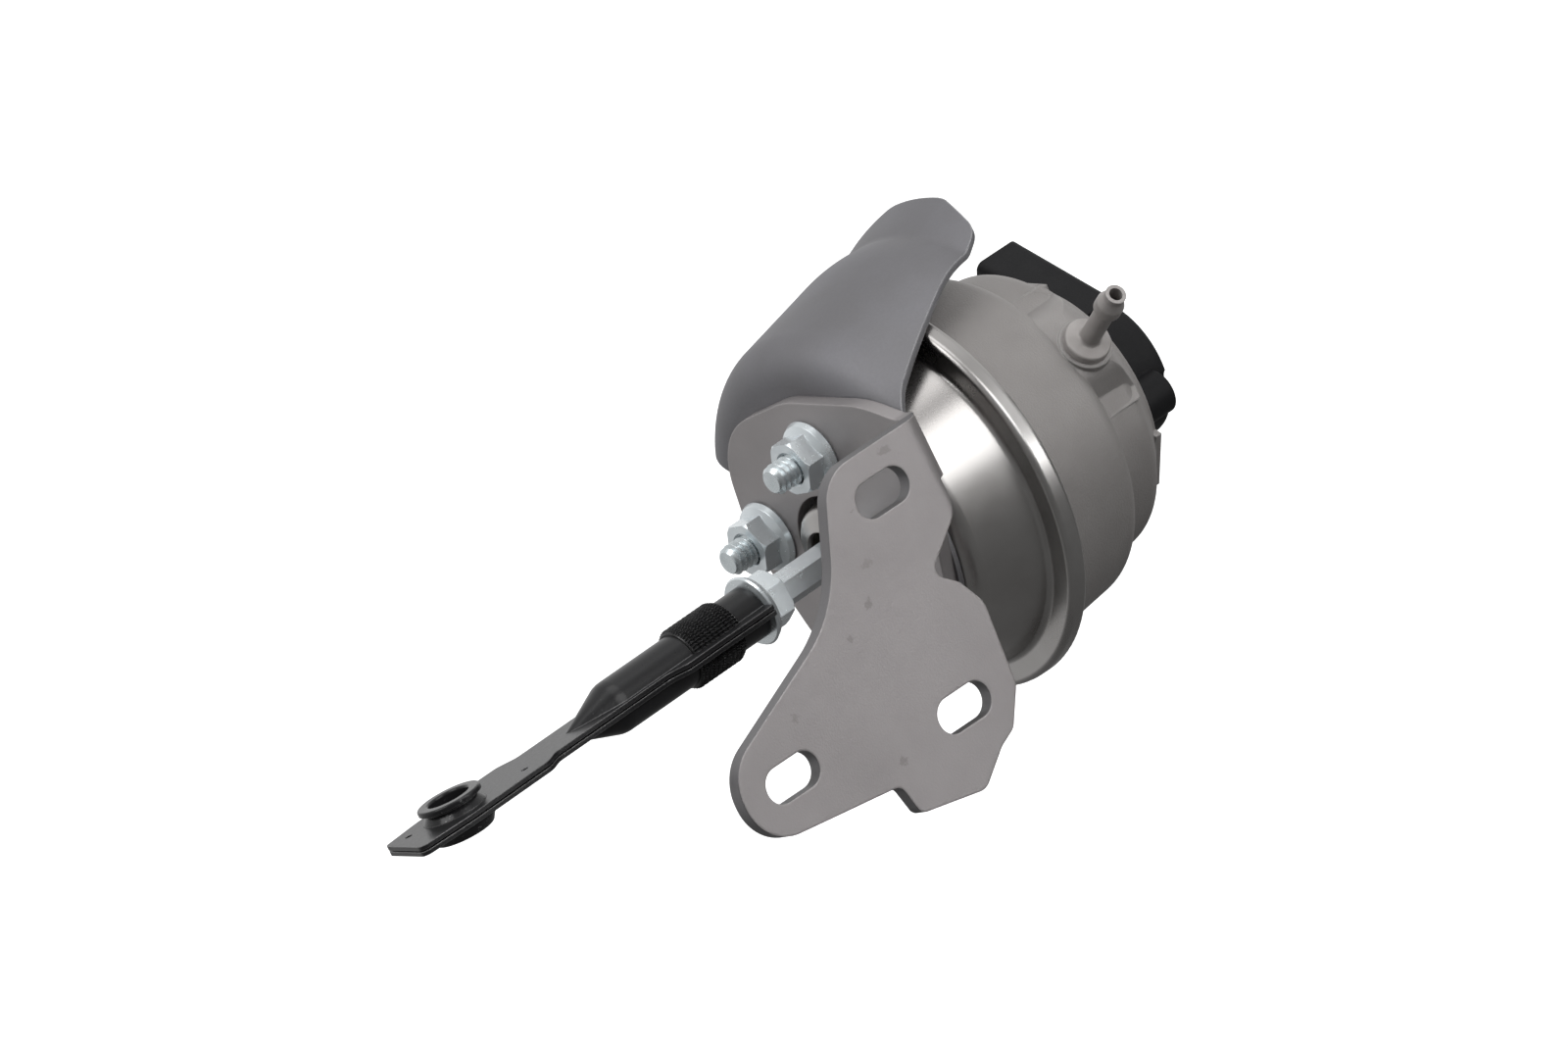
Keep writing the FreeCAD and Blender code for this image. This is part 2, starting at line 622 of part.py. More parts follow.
def make_rear_housing():
    """Cast aluminium half of the canister: two tiers, a nipple pad and the sensor's bore."""
    body = new_piece("rear_housing")
    pad = new_sketch(body, "XZ_Plane", turn=s.nipple_angle)
    pad_top = s.tier_one_radius - 0.1
    draw_outline(pad, [
        (s.nipple_at - s.pad_length * 0.4, s.cavity_small), (s.nipple_at - s.pad_length * 0.4, pad_top),
        (s.nipple_at + s.pad_length * 0.25, pad_top, s.pad_round),
        (s.nipple_at + s.pad_length * 0.6, s.cavity_small + 0.5, 1.0),
        (s.nipple_at + s.pad_length * 0.6, s.cavity_small - 2.0),
    ])
    add_turned(body, pad, angle=s.pad_span, middle=True)
    pad_ends = new_sketch(body, "YZ_Plane", offset=s.nipple_at + s.pad_length)
    out_y, out_z = -sine(s.nipple_angle), cosine(s.nipple_angle)
    root = s.cavity_small - 0.9
    for way in (-1, 1):
        ends = (
            (pad_top + 0.35, 1.0), (pad_top - 0.7, s.pad_half, s.pad_round), (root, s.pad_half + 4.4),
            (root, s.pad_half * 3.3), (pad_top + 3, s.pad_half * 3.3), (pad_top + 3, 1.0),
        )
        draw_outline(pad_ends, [
            (out_y * reach + out_z * side * way, out_z * reach - out_y * side * way, *rounding)
            for reach, side, *rounding in ends
        ])
    add_pocket(body, pad_ends, s.pad_length * 2)
    outer = new_sketch(body, "XZ_Plane")
    draw_outline(outer, [
        (flange_front_x, 0), (flange_front_x, flange_radius), (flange_back_x, flange_radius),
        (flange_back_x, s.housing_mouth, 0.6), (s.tier_one_end, s.tier_one_radius, s.tier_round),
        (s.crease_at, s.crease_radius, 1.0), (s.tier_two_at, s.tier_two_radius, s.tier_round),
        (s.ring_at, s.ring_radius + 0.2, 0.8), (s.housing_end, s.ring_radius), (s.housing_end, 0),
    ])
    add_turned(body, outer)
    seat = new_sketch(body, "XY_Plane", turn=s.nipple_angle)
    draw_circle(seat, s.nipple_at, s.nipple_shift, s.nipple_collar + 0.8)
    add_pad(body, seat, s.nipple_seat)
    lugs = new_sketch(body, "YZ_Plane", offset=s.housing_end)
    for turn in (0, 120, 240):
        out_y, out_z = cosine(s.lug_angle + turn), sine(s.lug_angle + turn)
        draw_outline(lugs, [
            (out_y * reach - out_z * side, out_z * reach + out_y * side)
            for reach, side in (
                (s.lug_radius * 0.8, -s.lug_half), (s.lug_radius, -s.lug_half),
                (s.lug_radius, s.lug_half), (s.lug_radius * 0.8, s.lug_half),
            )
        ])
    add_pad(body, lugs, s.lug_wall, reverse=True)
    cavity = new_sketch(body, "XZ_Plane")
    draw_outline(cavity, [
        (flange_front_x - 1, 0), (flange_front_x - 1, s.cavity_radius),
        (flange_front_x, s.cavity_radius), (s.cavity_step, s.cavity_shoulder, 4.0),
        (s.cavity_step + 2, s.cavity_small, 1.0), (s.tier_two_at - 1.5, s.cavity_small, 3.0),
        (s.cavity_end, s.cavity_small - 3.5, 1.0), (s.cavity_end, s.sensor_bore),
        (s.housing_end + 1, s.sensor_bore), (s.housing_end + 1, 0),
    ])
    add_turned(body, cavity, cut=True)
    passage = new_sketch(body, "XY_Plane", turn=s.nipple_angle)
    draw_circle(passage, s.nipple_at, s.nipple_shift, s.nipple_root)
    add_pocket(body, passage, reverse=True)
    for angle in ear_angles:
        screw_hole = new_sketch(body, "YZ_Plane", offset=s.ear_end - s.screw_length - s.seat_gap)
        draw_circle(
            screw_hole, s.ear_circle * cosine(angle), s.ear_circle * sine(angle), s.screw_radius
        )
        add_pocket(body, screw_hole, reverse=True)


def make_hose_nipple():
    """Turned nipple with a hose bulb, pressed into the housing's pad."""
    body = new_piece(
        "hose_nipple", along=s.nipple_at, across=s.nipple_shift * cosine(s.nipple_angle),
        up=s.nipple_shift * sine(s.nipple_angle), turn=s.nipple_angle,
    )
    sketch = new_sketch(body, "XZ_Plane")
    seat, tip = s.nipple_seat, s.nipple_seat + s.nipple_length
    draw_outline(sketch, [
        (s.nipple_bore, s.cavity_small + 1), (s.nipple_root, s.cavity_small + 1),
        (s.nipple_root, seat), (s.nipple_collar, seat),
        (s.nipple_collar, seat + 1.6, 0.5), (s.nipple_stem, seat + 2.6, 0.8),
        (s.nipple_stem, tip - 6.4, 0.6), (s.nipple_bulb, tip - 5.4, 0.4),
        (s.nipple_bulb, tip - 3.2, 0.4), (s.nipple_stem, tip - 1.4, 0.4),
        (s.nipple_stem, tip), (s.nipple_bore, tip),
    ])
    add_turned(body, sketch, axis="V_Axis")


# Bracket and heat shield

plate_back_x = face_x - s.shield_wall
plate_front_x = plate_back_x - s.plate_wall
face_y = -s.axis_depth


def stud_place(angle):
    """Place of a stud in the canister's frame, as (across, up)."""
    return s.stud_circle * cosine(angle), s.stud_circle * sine(angle)


def make_bracket():
    """Bent steel bracket: a round plate behind the nuts and a flange with three slots."""
    body = new_piece("bracket")
    plate = new_sketch(body, "YZ_Plane", offset=plate_front_x)
    disc, low = s.plate_disc, s.bend_low
    bend_reach = s.plate_wall + s.bend_inside + 0.8
    draw_outline(plate, [
        (face_y + bend_reach, low), (face_y, low), (face_y, s.plate_shoulder),
        (face_y + bend_reach, s.plate_shoulder, 3.0),
        (-disc, s.plate_top - disc * 0.12, disc * 1.13), (disc * -0.15, s.plate_top, disc * 0.75),
        (disc * 0.78, disc * 1.0, disc * 0.64), (disc * 0.98, disc * 0.14, disc * 0.6),
        (disc * 0.68, disc * -1.02, disc * 0.64), (disc * -0.62, disc * -0.95, disc * 0.56),
    ])
    add_pad(body, plate, s.plate_wall)
    flange = new_sketch(body, "XZ_Plane", offset=s.axis_depth - s.plate_wall)
    bend_x = plate_back_x
    upper, far, low_slot = -s.slot_to_rim, s.slot_far_x - s.slot_to_rim, s.slot_low_x - s.slot_to_rim
    far_z, low_z, end_x = s.slot_far_z, s.slot_low_z, far - s.far_end
    metal = s.flange_margin
    draw_outline(flange, [
        (bend_x - bend_reach, low), (bend_x, low), (bend_x, s.plate_shoulder),
        (upper - metal * 1.4, s.plate_shoulder, metal * 1.29),
        (upper - metal * 3, metal * 0.07, metal * 3.7), (end_x, far_z + metal, s.far_round),
        (end_x, far_z - metal * 1.2, s.far_round),
        (low_slot - metal * 2.86, low_z - metal * 0.8, 2.0),
        (low_slot - metal * 2.64, low_z - metal * 1.74, 2.0),
        (low_slot - metal * 0.5, low_z - metal * 2.17, 3.5),
        (low_slot + metal * 0.53, low_z - metal * 1.44, 4.0),
        (low_slot + metal * 1.1, low_z - metal * 1.21, 3.0),
        (low_slot + metal * 1.79, low_z - metal * 0.26, 3.0),
        (low_slot + metal * 2.02, low_z + metal * 2.08, 5.0),
        (low_slot + metal * 1.59, low_z + metal * 2.89, 3.0),
        (low_slot + metal * 0.9, low_z + metal * 3.47, 2.0),
    ])
    add_pad(body, flange, s.plate_wall)
    holes = new_sketch(body, "YZ_Plane", offset=plate_back_x)
    draw_circle(holes, 0, 0, s.plate_hole)
    for angle in (s.stud_upper_angle, s.stud_lower_angle):
        across, up = stud_place(angle)
        draw_circle(holes, across, up, s.nut_bore + 0.3)
    add_pocket(body, holes, s.plate_wall)
    slots = new_sketch(body, "XZ_Plane", offset=s.axis_depth)
    for x, z in ((upper, s.slot_upper_z), (far, far_z), (low_slot, low_z)):
        draw_slot(slots, x, z, s.slot_length, s.slot_width)
    add_pocket(body, slots, s.plate_wall)
    corner_x, corner_y = plate_back_x.value, face_y.value
    inner_x, inner_y = plate_front_x.value, (face_y + s.plate_wall).value

    def on_line(edge, x, y):
        return all(
            abs(vertex.X - x) < 1e-3 and abs(vertex.Y - y) < 1e-3 for vertex in edge.Vertexes
        ) and edge.Length > 5

    add_fillet(body, s.bend_inside + s.plate_wall, lambda edge: on_line(edge, corner_x, corner_y))
    add_fillet(body, s.bend_inside, lambda edge: on_line(edge, inner_x, inner_y))
    plate_relief = new_sketch(body, "YZ_Plane", offset=plate_back_x)
    draw_outline(plate_relief, [
        (face_y - 1, s.relief_top), (face_y + s.plate_wall * 2, s.relief_top, 3.0),
        (disc * -0.905, disc * -0.6), (face_y - 1, disc * -0.6),
    ])
    add_pocket(body, plate_relief, s.plate_wall)
    flange_relief = new_sketch(body, "XZ_Plane", offset=s.axis_depth)
    inner, outer = bend_x - s.plate_wall, bend_x + 1
    draw_outline(flange_relief, [
        (inner - s.bend_inside - s.plate_wall, low - 1.5), (inner - 0.2, low + 2.0, 5.5),
        (inner + 0.2, s.relief_top + 0.1), (outer, s.relief_top + 0.1),
        (outer, low - 4.4), (inner - s.bend_inside - s.plate_wall, low - 4.4),
    ])
    add_pocket(body, flange_relief, s.plate_wall + s.bend_inside + 0.5)


def make_heat_shield():
    """Formed sheet that shades the canister: a flat face, a flaring side and a creased lip."""
    body = new_piece("heat_shield")
    crease_radius = s.shield_wide_radius - s.shield_crease_in
    lip_radius = crease_radius + s.shield_flare
    side = new_sketch(body, "XZ_Plane", turn=s.shield_middle - 90)
    draw_sheet(side, [
        (plate_back_x, s.plate_hole), (plate_back_x, s.shield_corner_radius, s.shield_corner),
        (s.shield_wide_at, s.shield_wide_radius, 30.0),
        (s.shield_crease_at, crease_radius, 4.0),
        (s.shield_lip_at, lip_radius),
    ], s.shield_wall, -1)
    add_turned(body, side, angle=s.shield_span, middle=True)
    trim = new_sketch(body, "XY_Plane")
    for way in (-1, 1):
        outside = (lip_radius + 2) * way
        draw_outline(trim, [
            (plate_back_x + 1.4, outside), (plate_back_x + 1.4, s.shield_edge_front * way),
            (s.shield_edge_at, s.shield_edge_rear * way, 4.0),
            (s.shield_lip_at - 0.2, s.shield_edge_lip * way, 6.0),
            (s.shield_lip_at + 0.5, s.shield_edge_lip * 0.22 * way),
            (s.shield_lip_at + 5, s.shield_edge_lip * 0.22 * way), (s.shield_lip_at + 5, outside),
        ])
    add_pocket(body, trim, reverse=True)
    disc = new_sketch(body, "YZ_Plane", offset=plate_back_x)
    draw_circle(disc, 0, 0, s.shield_disc)
    add_pad(body, disc, s.shield_wall)
    holes = new_sketch(body, "YZ_Plane", offset=plate_back_x)
    draw_circle(holes, 0, 0, s.plate_hole)
    for angle in (s.stud_upper_angle, s.stud_lower_angle):
        across, up = stud_place(angle)
        draw_circle(holes, across, up, s.stud_collar + 0.2)
    add_pocket(body, holes, reverse=True)


def make_stud(name, angle):
    """Threaded weld stud on the front shell's face."""
    across, up = stud_place(angle)
    turned_piece(name, [
        (face_x, 0), (face_x, s.stud_collar), (face_x - s.shield_wall * 0.8, s.stud_collar),
        (face_x - s.shield_wall * 0.8, s.thread_radius),
        (-s.stud_end + 0.8, s.thread_radius), (-s.stud_end, s.thread_radius - 0.8), (-s.stud_end, 0),
    ], across=across, up=up)


def make_nut(name, seat_x, height, facing, **place):
    """Flange nut, with its flange's face at seat_x and its hexagon towards facing along X."""
    body = new_piece(name, **place)
    hexagon = new_sketch(body, "YZ_Plane", offset=seat_x)
    draw_hexagon(hexagon, s.nut_flats)
    add_pad(body, hexagon, height, reverse=facing < 0)
    crown = new_sketch(body, "XZ_Plane")
    top = seat_x + height * facing
    corner = s.nut_flats / (2 * cosine(30))
    draw_outline(crown, [
        (top + 1.0 * facing, s.nut_flats / 2 - 0.6), (top + 1.0 * facing, corner + 1.5),
        (top - 2.2 * facing, corner + 1.5),
    ])
    add_turned(body, crown, cut=True)
    skirt = new_sketch(body, "XZ_Plane")
    draw_outline(skirt, [
        (seat_x, 0), (seat_x, s.nut_flange - 0.3), (seat_x + 0.4 * facing, s.nut_flange),
        (seat_x + s.nut_flange_wall * facing, s.nut_flange - 0.5),
        (seat_x + (s.nut_flange_wall + 0.9) * facing, s.nut_flats / 2),
        (seat_x + (s.nut_flange_wall + 0.9) * facing, 0),
    ])
    add_turned(body, skirt)
    bore = new_sketch(body, "XZ_Plane")
    draw_outline(bore, [
        (seat_x - 1.0 * facing, 0), (seat_x - 1.0 * facing, s.nut_bore + 1.4),
        (seat_x + 0.4 * facing, s.nut_bore), (top - 0.5 * facing, s.nut_bore),
        (top + 1.0 * facing, s.nut_bore + 1.5), (top + 1.0 * facing, 0),
    ])
    add_turned(body, bore, cut=True)


# Piston, diaphragm and spring

clamp_front_x = face_inner_x + s.rest_gap
rubber_front_x = clamp_front_x + s.clamp_wall
crown_x = rubber_front_x + s.rubber
crown_inner_x = crown_x + s.cup_wall
socket_flange_x = crown_inner_x + s.socket_flange_wall
ball_x = -s.ball_at
spring_seat_x = s.cavity_end - s.seat_wall


def make_piston_cup():
    """Deep-drawn cup with the diaphragm over its crown and the spring inside."""
    body = new_piece("piston_cup")
    sketch = new_sketch(body, "XZ_Plane")
    draw_sheet(sketch, [
        (crown_x, s.socket_neck), (crown_x, s.cup_radius, s.cup_corner),
        (crown_x + s.cup_depth, s.cup_radius),
    ], s.cup_wall, -1)
    add_turned(body, sketch)


def make_diaphragm():
    """Rolling rubber diaphragm: clamped bead, loop, side over the cup and crown."""
    body = new_piece("diaphragm")
    sketch = new_sketch(body, "XZ_Plane")
    loop_round = (s.loop_outside - s.cup_radius) * 0.499
    bottom_x = s.loop_at + (s.loop_outside - s.cup_radius) / 2
    draw_sheet(sketch, [
        (crown_x, s.socket_neck), (crown_x, s.cup_radius, s.cup_corner),
        (bottom_x, s.cup_radius, loop_round), (bottom_x, s.loop_outside, loop_round),
        (flange_front_x, s.loop_outside, 0.3), (flange_front_x, flange_radius),
    ], s.rubber, 1)
    add_turned(body, sketch)


def make_clamp_plate():
    """Ring that clamps the diaphragm's crown on the cup."""
    turned_piece("clamp_plate", [
        (clamp_front_x, s.socket_neck), (clamp_front_x, s.clamp_radius, 0.5),
        (rubber_front_x, s.clamp_radius), (rubber_front_x, s.socket_neck),
    ])


def make_ball_socket():
    """Moulded socket in the middle of the cup, round the rod's ball."""
    body = turned_piece("ball_socket", [
        (clamp_front_x, s.socket_mouth_out), (clamp_front_x, s.socket_neck),
        (crown_inner_x, s.socket_neck), (crown_inner_x, s.socket_flange),
        (socket_flange_x, s.socket_flange), (socket_flange_x, s.socket_radius, 0.6),
        (-s.socket_end, s.socket_radius), (-s.socket_end, s.ball_radius + s.seat_gap),
        (ball_x, s.ball_radius + s.seat_gap), (ball_x, s.socket_mouth),
        (ball_x - s.ball_radius, s.socket_mouth),
    ])
    add_sphere(body, ball_x, s.ball_radius + s.seat_gap)


def make_magnet_carrier():
    """Moulded tube on the socket, which backs the ball and carries the ring magnet."""
    shoulder_x = s.magnet_at - s.magnet_shoulder
    body = turned_piece("magnet_carrier", [
        (ball_x + 1.0, 0), (ball_x + 1.0, s.ball_radius), (-s.socket_end, s.ball_radius),
        (-s.socket_end, s.socket_radius), (-s.socket_end + 2, s.socket_radius, 0.4),
        (-s.socket_end + 2, s.carrier_radius), (shoulder_x, s.carrier_radius),
        (shoulder_x, s.magnet_radius, 0.4), (s.magnet_at, s.magnet_radius),
        (s.magnet_at, s.carrier_radius), (s.carrier_end, s.carrier_radius, 0.4),
        (s.carrier_end, s.carrier_bore), (-s.socket_end + 2.2, s.carrier_bore),
        (-s.socket_end + 2.2, 0),
    ])
    add_sphere(body, ball_x, s.ball_radius + s.seat_gap)


def make_magnet():
    """Ring magnet whose place the sensor reads."""
    turned_piece("magnet", [
        (s.magnet_at, s.carrier_radius), (s.magnet_at, s.magnet_radius, 0.3),
        (s.magnet_at + s.magnet_length, s.magnet_radius, 0.3),
        (s.magnet_at + s.magnet_length, s.carrier_radius),
    ])


def make_coil_spring():
    """Return spring with ground ends, between the cup and the spring seat."""
    body = new_piece("coil_spring")
    section = new_sketch(body, "XZ_Plane")
    start = crown_inner_x + s.wire_radius / 2
    length = spring_seat_x - crown_inner_x - s.wire_radius
    draw_circle(section, start, s.coil_radius, s.wire_radius)
    coil = body.newObject("PartDesign::AdditiveHelix", "coil_spring_coil")
    coil.Profile = section
    coil.ReferenceAxis = (section, ["H_Axis"])
    coil.Mode = "height-turns-angle"
    coil.setExpression("Height", length.text)
    coil.setExpression("Turns", s.coil_turns.text)
    doc.recompute()
    for end_x, outwards in ((crown_inner_x, False), (spring_seat_x, True)):
        grind = new_sketch(body, "YZ_Plane", offset=end_x)
        draw_circle(grind, 0, 0, s.coil_radius + 3 * s.wire_radius)
        add_pocket(body, grind, 3 * s.wire_radius, reverse=outwards)


def make_spring_seat():
    """Pressed ring that centres the spring in the housing."""
    body = new_piece("spring_seat")
    sketch = new_sketch(body, "XZ_Plane")
    inner = s.coil_radius - s.wire_radius - s.seat_wall - s.rest_gap
    draw_sheet(sketch, [
        (s.cavity_end, s.seat_radius), (s.cavity_end, inner, 2.0),
        (spring_seat_x - s.seat_lip, inner),
    ], s.seat_wall, -1)
    add_turned(body, sketch)


# Position sensor

plug_back = s.plug_front + s.plug_thickness
plug_middle = s.plug_top - s.plug_width / 2
pin_x = s.plug_front + s.plug_thickness / 2
board_front = s.finger_tip + 1.5 + s.board_tip_gap


def make_sensor_body():
    """Moulded sensor: finger, sealed spigot, cap with two screw ears and the plug's housing."""
    body = turned_piece("sensor_body", [
        (s.finger_tip, 0), (s.finger_tip, s.finger_radius, 0.8),
        (s.spigot_front, s.finger_radius, 1.0), (s.spigot_front, s.spigot_radius, 0.4),
        (s.groove_at, s.spigot_radius), (s.groove_at, s.spigot_radius - 2 * s.seal_wire),
        (s.groove_at + s.groove_width, s.spigot_radius - 2 * s.seal_wire),
        (s.groove_at + s.groove_width, s.spigot_radius),
        (s.housing_end, s.spigot_radius), (s.housing_end, s.cap_radius, 0.6),
        (s.cap_end, s.cap_radius, s.cap_round), (s.cap_end, 0),
    ])
    ears = new_sketch(body, "YZ_Plane", offset=s.housing_end)
    for angle in ear_angles:
        draw_circle(ears, s.ear_circle * cosine(angle), s.ear_circle * sine(angle), s.ear_radius)
    add_pad(body, ears, s.ear_top - s.housing_end)
    heads = new_sketch(body, "YZ_Plane", offset=s.ear_end)
    for angle in ear_angles:
        draw_circle(
            heads, s.ear_circle * cosine(angle), s.ear_circle * sine(angle), s.screw_head + 0.4
        )
    add_pocket(body, heads, reverse=True)
    housing = new_sketch(body, "XY_Plane", turn=s.plug_angle)
    top, bottom = -s.plug_top, s.plug_width - s.plug_top
    draw_outline(housing, [
        (s.plug_front, top, s.plug_round), (plug_back, top, s.plug_round),
        (plug_back, bottom, s.plug_round), (s.plug_front, bottom, s.plug_round),
    ])
    add_pad(body, housing, s.plug_reach)
    latch = new_sketch(body, "YZ_Plane", offset=plug_back)
    mouth, wide = s.plug_reach - 3.0, s.latch_width / 2
    along_y, along_z = -sine(s.plug_angle), cosine(s.plug_angle)
    ramp = []
    for reach, side in (
        (mouth, plug_middle + wide), (mouth, plug_middle - wide),
        (mouth - s.latch_length, plug_middle - wide), (mouth - s.latch_length, plug_middle + wide),
    ):
        ramp.append((reach * along_y - side * along_z, reach * along_z + side * along_y))
    draw_outline(latch, ramp)
    add_pad(body, latch, s.latch_height)
    socket = new_sketch(body, "XY_Plane", offset=s.plug_reach, turn=s.plug_angle)
    wall = s.plug_wall
    draw_outline(socket, [
        (s.plug_front + wall, top + wall, 1.0), (plug_back - wall, top + wall, 1.0),
        (plug_back - wall, bottom - wall, 1.0), (s.plug_front + wall, bottom - wall, 1.0),
    ])
    add_pocket(body, socket, s.plug_depth)
    inside = new_sketch(body, "XZ_Plane")
    draw_outline(inside, [
        (s.finger_tip + 1.5, 0), (s.finger_tip + 1.5, s.finger_bore, 0.4),
        (s.cap_floor, s.finger_bore), (s.cap_floor, s.cap_cavity, 0.5),
        (s.cap_end - s.cover_wall, s.cap_cavity), (s.cap_end - s.cover_wall, s.cover_radius),
        (s.cap_end + 1, s.cover_radius), (s.cap_end + 1, 0),
    ])
    add_turned(body, inside, cut=True)
    pins = new_sketch(body, "XY_Plane", offset=s.plug_reach - s.plug_depth, turn=s.plug_angle)
    draw_pins(pins)
    add_pocket(body, pins, s.plug_reach - s.plug_depth - s.terminal_root)
    for angle in ear_angles:
        hole = new_sketch(body, "YZ_Plane", offset=s.ear_end)
        draw_circle(
            hole, s.ear_circle * cosine(angle), s.ear_circle * sine(angle), s.screw_radius + 0.2
        )
        add_pocket(body, hole)


def draw_pins(sketch):
    """Draw the three terminals' sections side by side."""
    thick, wide = s.pin_thick / 2, s.pin_wide / 2
    for place in (-1, 0, 1):
        middle = s.pin_pitch * place - plug_middle
        draw_outline(sketch, [
            (pin_x - thick, middle - wide), (pin_x + thick, middle - wide),
            (pin_x + thick, middle + wide), (pin_x - thick, middle + wide),
        ])


def make_connector_terminals():
    """Three flat terminals from the sensor's cavity into the plug's socket."""
    body = new_piece("connector_terminals")
    sketch = new_sketch(body, "XY_Plane", offset=s.terminal_root, turn=s.plug_angle)
    draw_pins(sketch)
    add_pad(body, sketch, s.plug_reach - s.plug_depth + s.pin_reach - s.terminal_root)


def make_circuit_board():
    """Sensor board in the finger's bore, with its sensing chip near the tip."""
    body = new_piece("circuit_board")
    board = new_sketch(body, "XY_Plane", offset=-s.board_wall / 2)
    half, back = s.board_width / 2, s.cap_floor + 1.0
    draw_outline(board, [
        (board_front, -half, 0.4), (back, -half, 0.4), (back, half, 0.4), (board_front, half, 0.4),
    ])
    add_pad(body, board, s.board_wall)
    chip = new_sketch(body, "XY_Plane", offset=s.board_wall / 2)
    draw_outline(chip, [
        (board_front + 2, -2), (board_front + 6, -2), (board_front + 6, 2), (board_front + 2, 2),
    ])
    add_pad(body, chip, 1.2)


def make_sensor_cover():
    """Welded cover over the cap's cavity."""
    turned_piece("sensor_cover", [
        (s.cap_end - s.cover_wall, 0), (s.cap_end - s.cover_wall, s.cover_radius - s.seat_gap),
        (s.cap_end + 0.2, s.cover_radius - s.seat_gap, 0.3), (s.cap_end + 0.2, 0),
    ])


def make_sensor_seal():
    """O-ring between the sensor's spigot and the housing."""
    body = new_piece("sensor_seal")
    sketch = new_sketch(body, "XZ_Plane")
    middle = s.spigot_radius - s.seal_wire
    draw_circle(sketch, s.groove_at + s.groove_width / 2, middle, s.seal_wire)
    add_turned(body, sketch)


def make_sensor_screws():
    """The two screws that hold the sensor, as one group."""
    body = new_piece("sensor_screws")
    for number, angle in enumerate(ear_angles):
        across, up = s.ear_circle * cosine(angle), s.ear_circle * sine(angle)
        shank = new_sketch(body, "YZ_Plane", offset=s.ear_end)
        draw_circle(shank, across, up, s.screw_radius)
        add_pad(body, shank, s.screw_length, reverse=True)
        head = new_sketch(body, "YZ_Plane", offset=s.ear_end)
        draw_circle(head, across, up, s.screw_head)
        add_pad(body, head, s.screw_head_height)
        recess = new_sketch(body, "YZ_Plane", offset=s.ear_end + s.screw_head_height - 1.0)
        draw_circle(recess, across, up, s.screw_radius)
        add_pocket(body, recess, 1.0, reverse=True)


# Rod and link

rod_corner = s.rod_flats / (2 * cosine(30))
hex_start_x = ball_x - s.neck_length
link_near_x = -s.link_near


def make_rod():
    """Pull rod: ball, neck, hexagon and thread."""
    body = new_piece("rod", hanging=True)
    hexagon = new_sketch(body, "YZ_Plane", offset=-s.hex_end)
    draw_hexagon(hexagon, s.rod_flats)
    add_pad(body, hexagon, s.hex_end - s.ball_at - s.neck_length)
    ends = new_sketch(body, "XZ_Plane")
    draw_outline(ends, [
        (hex_start_x + 1.0, s.rod_flats / 2 - 0.4), (hex_start_x + 1.0, rod_corner + 1.0),
        (hex_start_x - 1.0, rod_corner + 1.0),
    ])
    add_turned(body, ends, cut=True)
    neck = new_sketch(body, "XZ_Plane")
    draw_outline(neck, [
        (ball_x, 0), (ball_x, s.neck_radius), (hex_start_x, s.neck_radius), (hex_start_x, 0),
    ])
    add_turned(body, neck)
    thread = new_sketch(body, "XZ_Plane")
    draw_outline(thread, [
        (-s.hex_end, 0), (-s.hex_end, s.thread_radius), (-s.rod_end + 0.8, s.thread_radius),
        (-s.rod_end, s.thread_radius - 0.8), (-s.rod_end, 0),
    ])
    add_turned(body, thread)
    add_sphere(body, ball_x, s.ball_radius, kind="Additive")


def half_link_outline(sketch):
    """Draw the flat outline that both link halves are cut from."""
    near, tip = link_near_x, -s.tip_at
    wide, narrow = s.link_wide, s.link_narrow
    step_near, step_far = -s.link_step_near, -s.link_step_far
    right = [
        (near, wide, 0.8), (step_near, wide, 3.0), (step_near - s.link_step, narrow, 3.0),
        (step_far, narrow, 3.0), (step_far - s.link_step, wide, 3.0),
        (-s.eye_at - 3.0, wide + 0.3, 8.0),
    ]
    corners = right + [(tip - s.tip_skew * -1, s.tip_half, 1.5), (tip - s.tip_skew, -s.tip_half, 1.5)]
    for corner in reversed(right):
        corners.append((corner[0], -corner[1], corner[2]))
    draw_outline(sketch, corners)


def make_link_half(name, up):
    """Pressed half of the link: flat sides, a half tube that tapers out, a window and the eye."""
    body = new_piece(name, hanging=True)
    flat = new_sketch(body, "XY_Plane", offset=s.link_gap * up)
    half_link_outline(flat)
    add_pad(body, flat, s.link_sheet, reverse=up < 0)
    tube = new_sketch(body, "XY_Plane")
    draw_outline(tube, [
        (link_near_x, 0), (link_near_x, s.link_tube), (-s.link_taper_at, s.link_tube, 6.0),
        (-s.link_taper_end, s.link_sheet, 1.0), (-s.link_taper_end - 1.0, 0),
    ])
    add_turned(body, tube, angle=180, reverse=up < 0)
    hollow = new_sketch(body, "XY_Plane")
    inner = s.link_tube - s.link_sheet
    draw_outline(hollow, [
        (link_near_x + 1, 0), (link_near_x + 1, inner), (-s.link_taper_at, inner, 5.2),
        (-s.link_taper_end + 1.6, 0.4), (-s.link_taper_end + 1.2, 0),
    ])
    add_turned(body, hollow, angle=360, cut=True)
    window = new_sketch(body, "XY_Plane")
    side = s.insert_knurl + 0.1
    draw_outline(window, [
        (-s.window_near, -side, 0.8), (-s.window_near, side, 0.8),
        (-s.window_far, side, 0.8), (-s.window_far, -side, 0.8),
    ])
    add_pocket(body, window, reverse=up > 0)
    eye = new_sketch(body, "XY_Plane")
    draw_circle(eye, -s.eye_at, 0, s.eye_neck)
    if up > 0:
        draw_circle(eye, -s.eye_at + 15.0, -s.link_wide * 0.45, s.weld_hole)
        draw_circle(eye, -s.tip_at + 4.5, s.link_wide * 0.45, s.weld_hole)
    add_pocket(body, eye, reverse=up > 0)


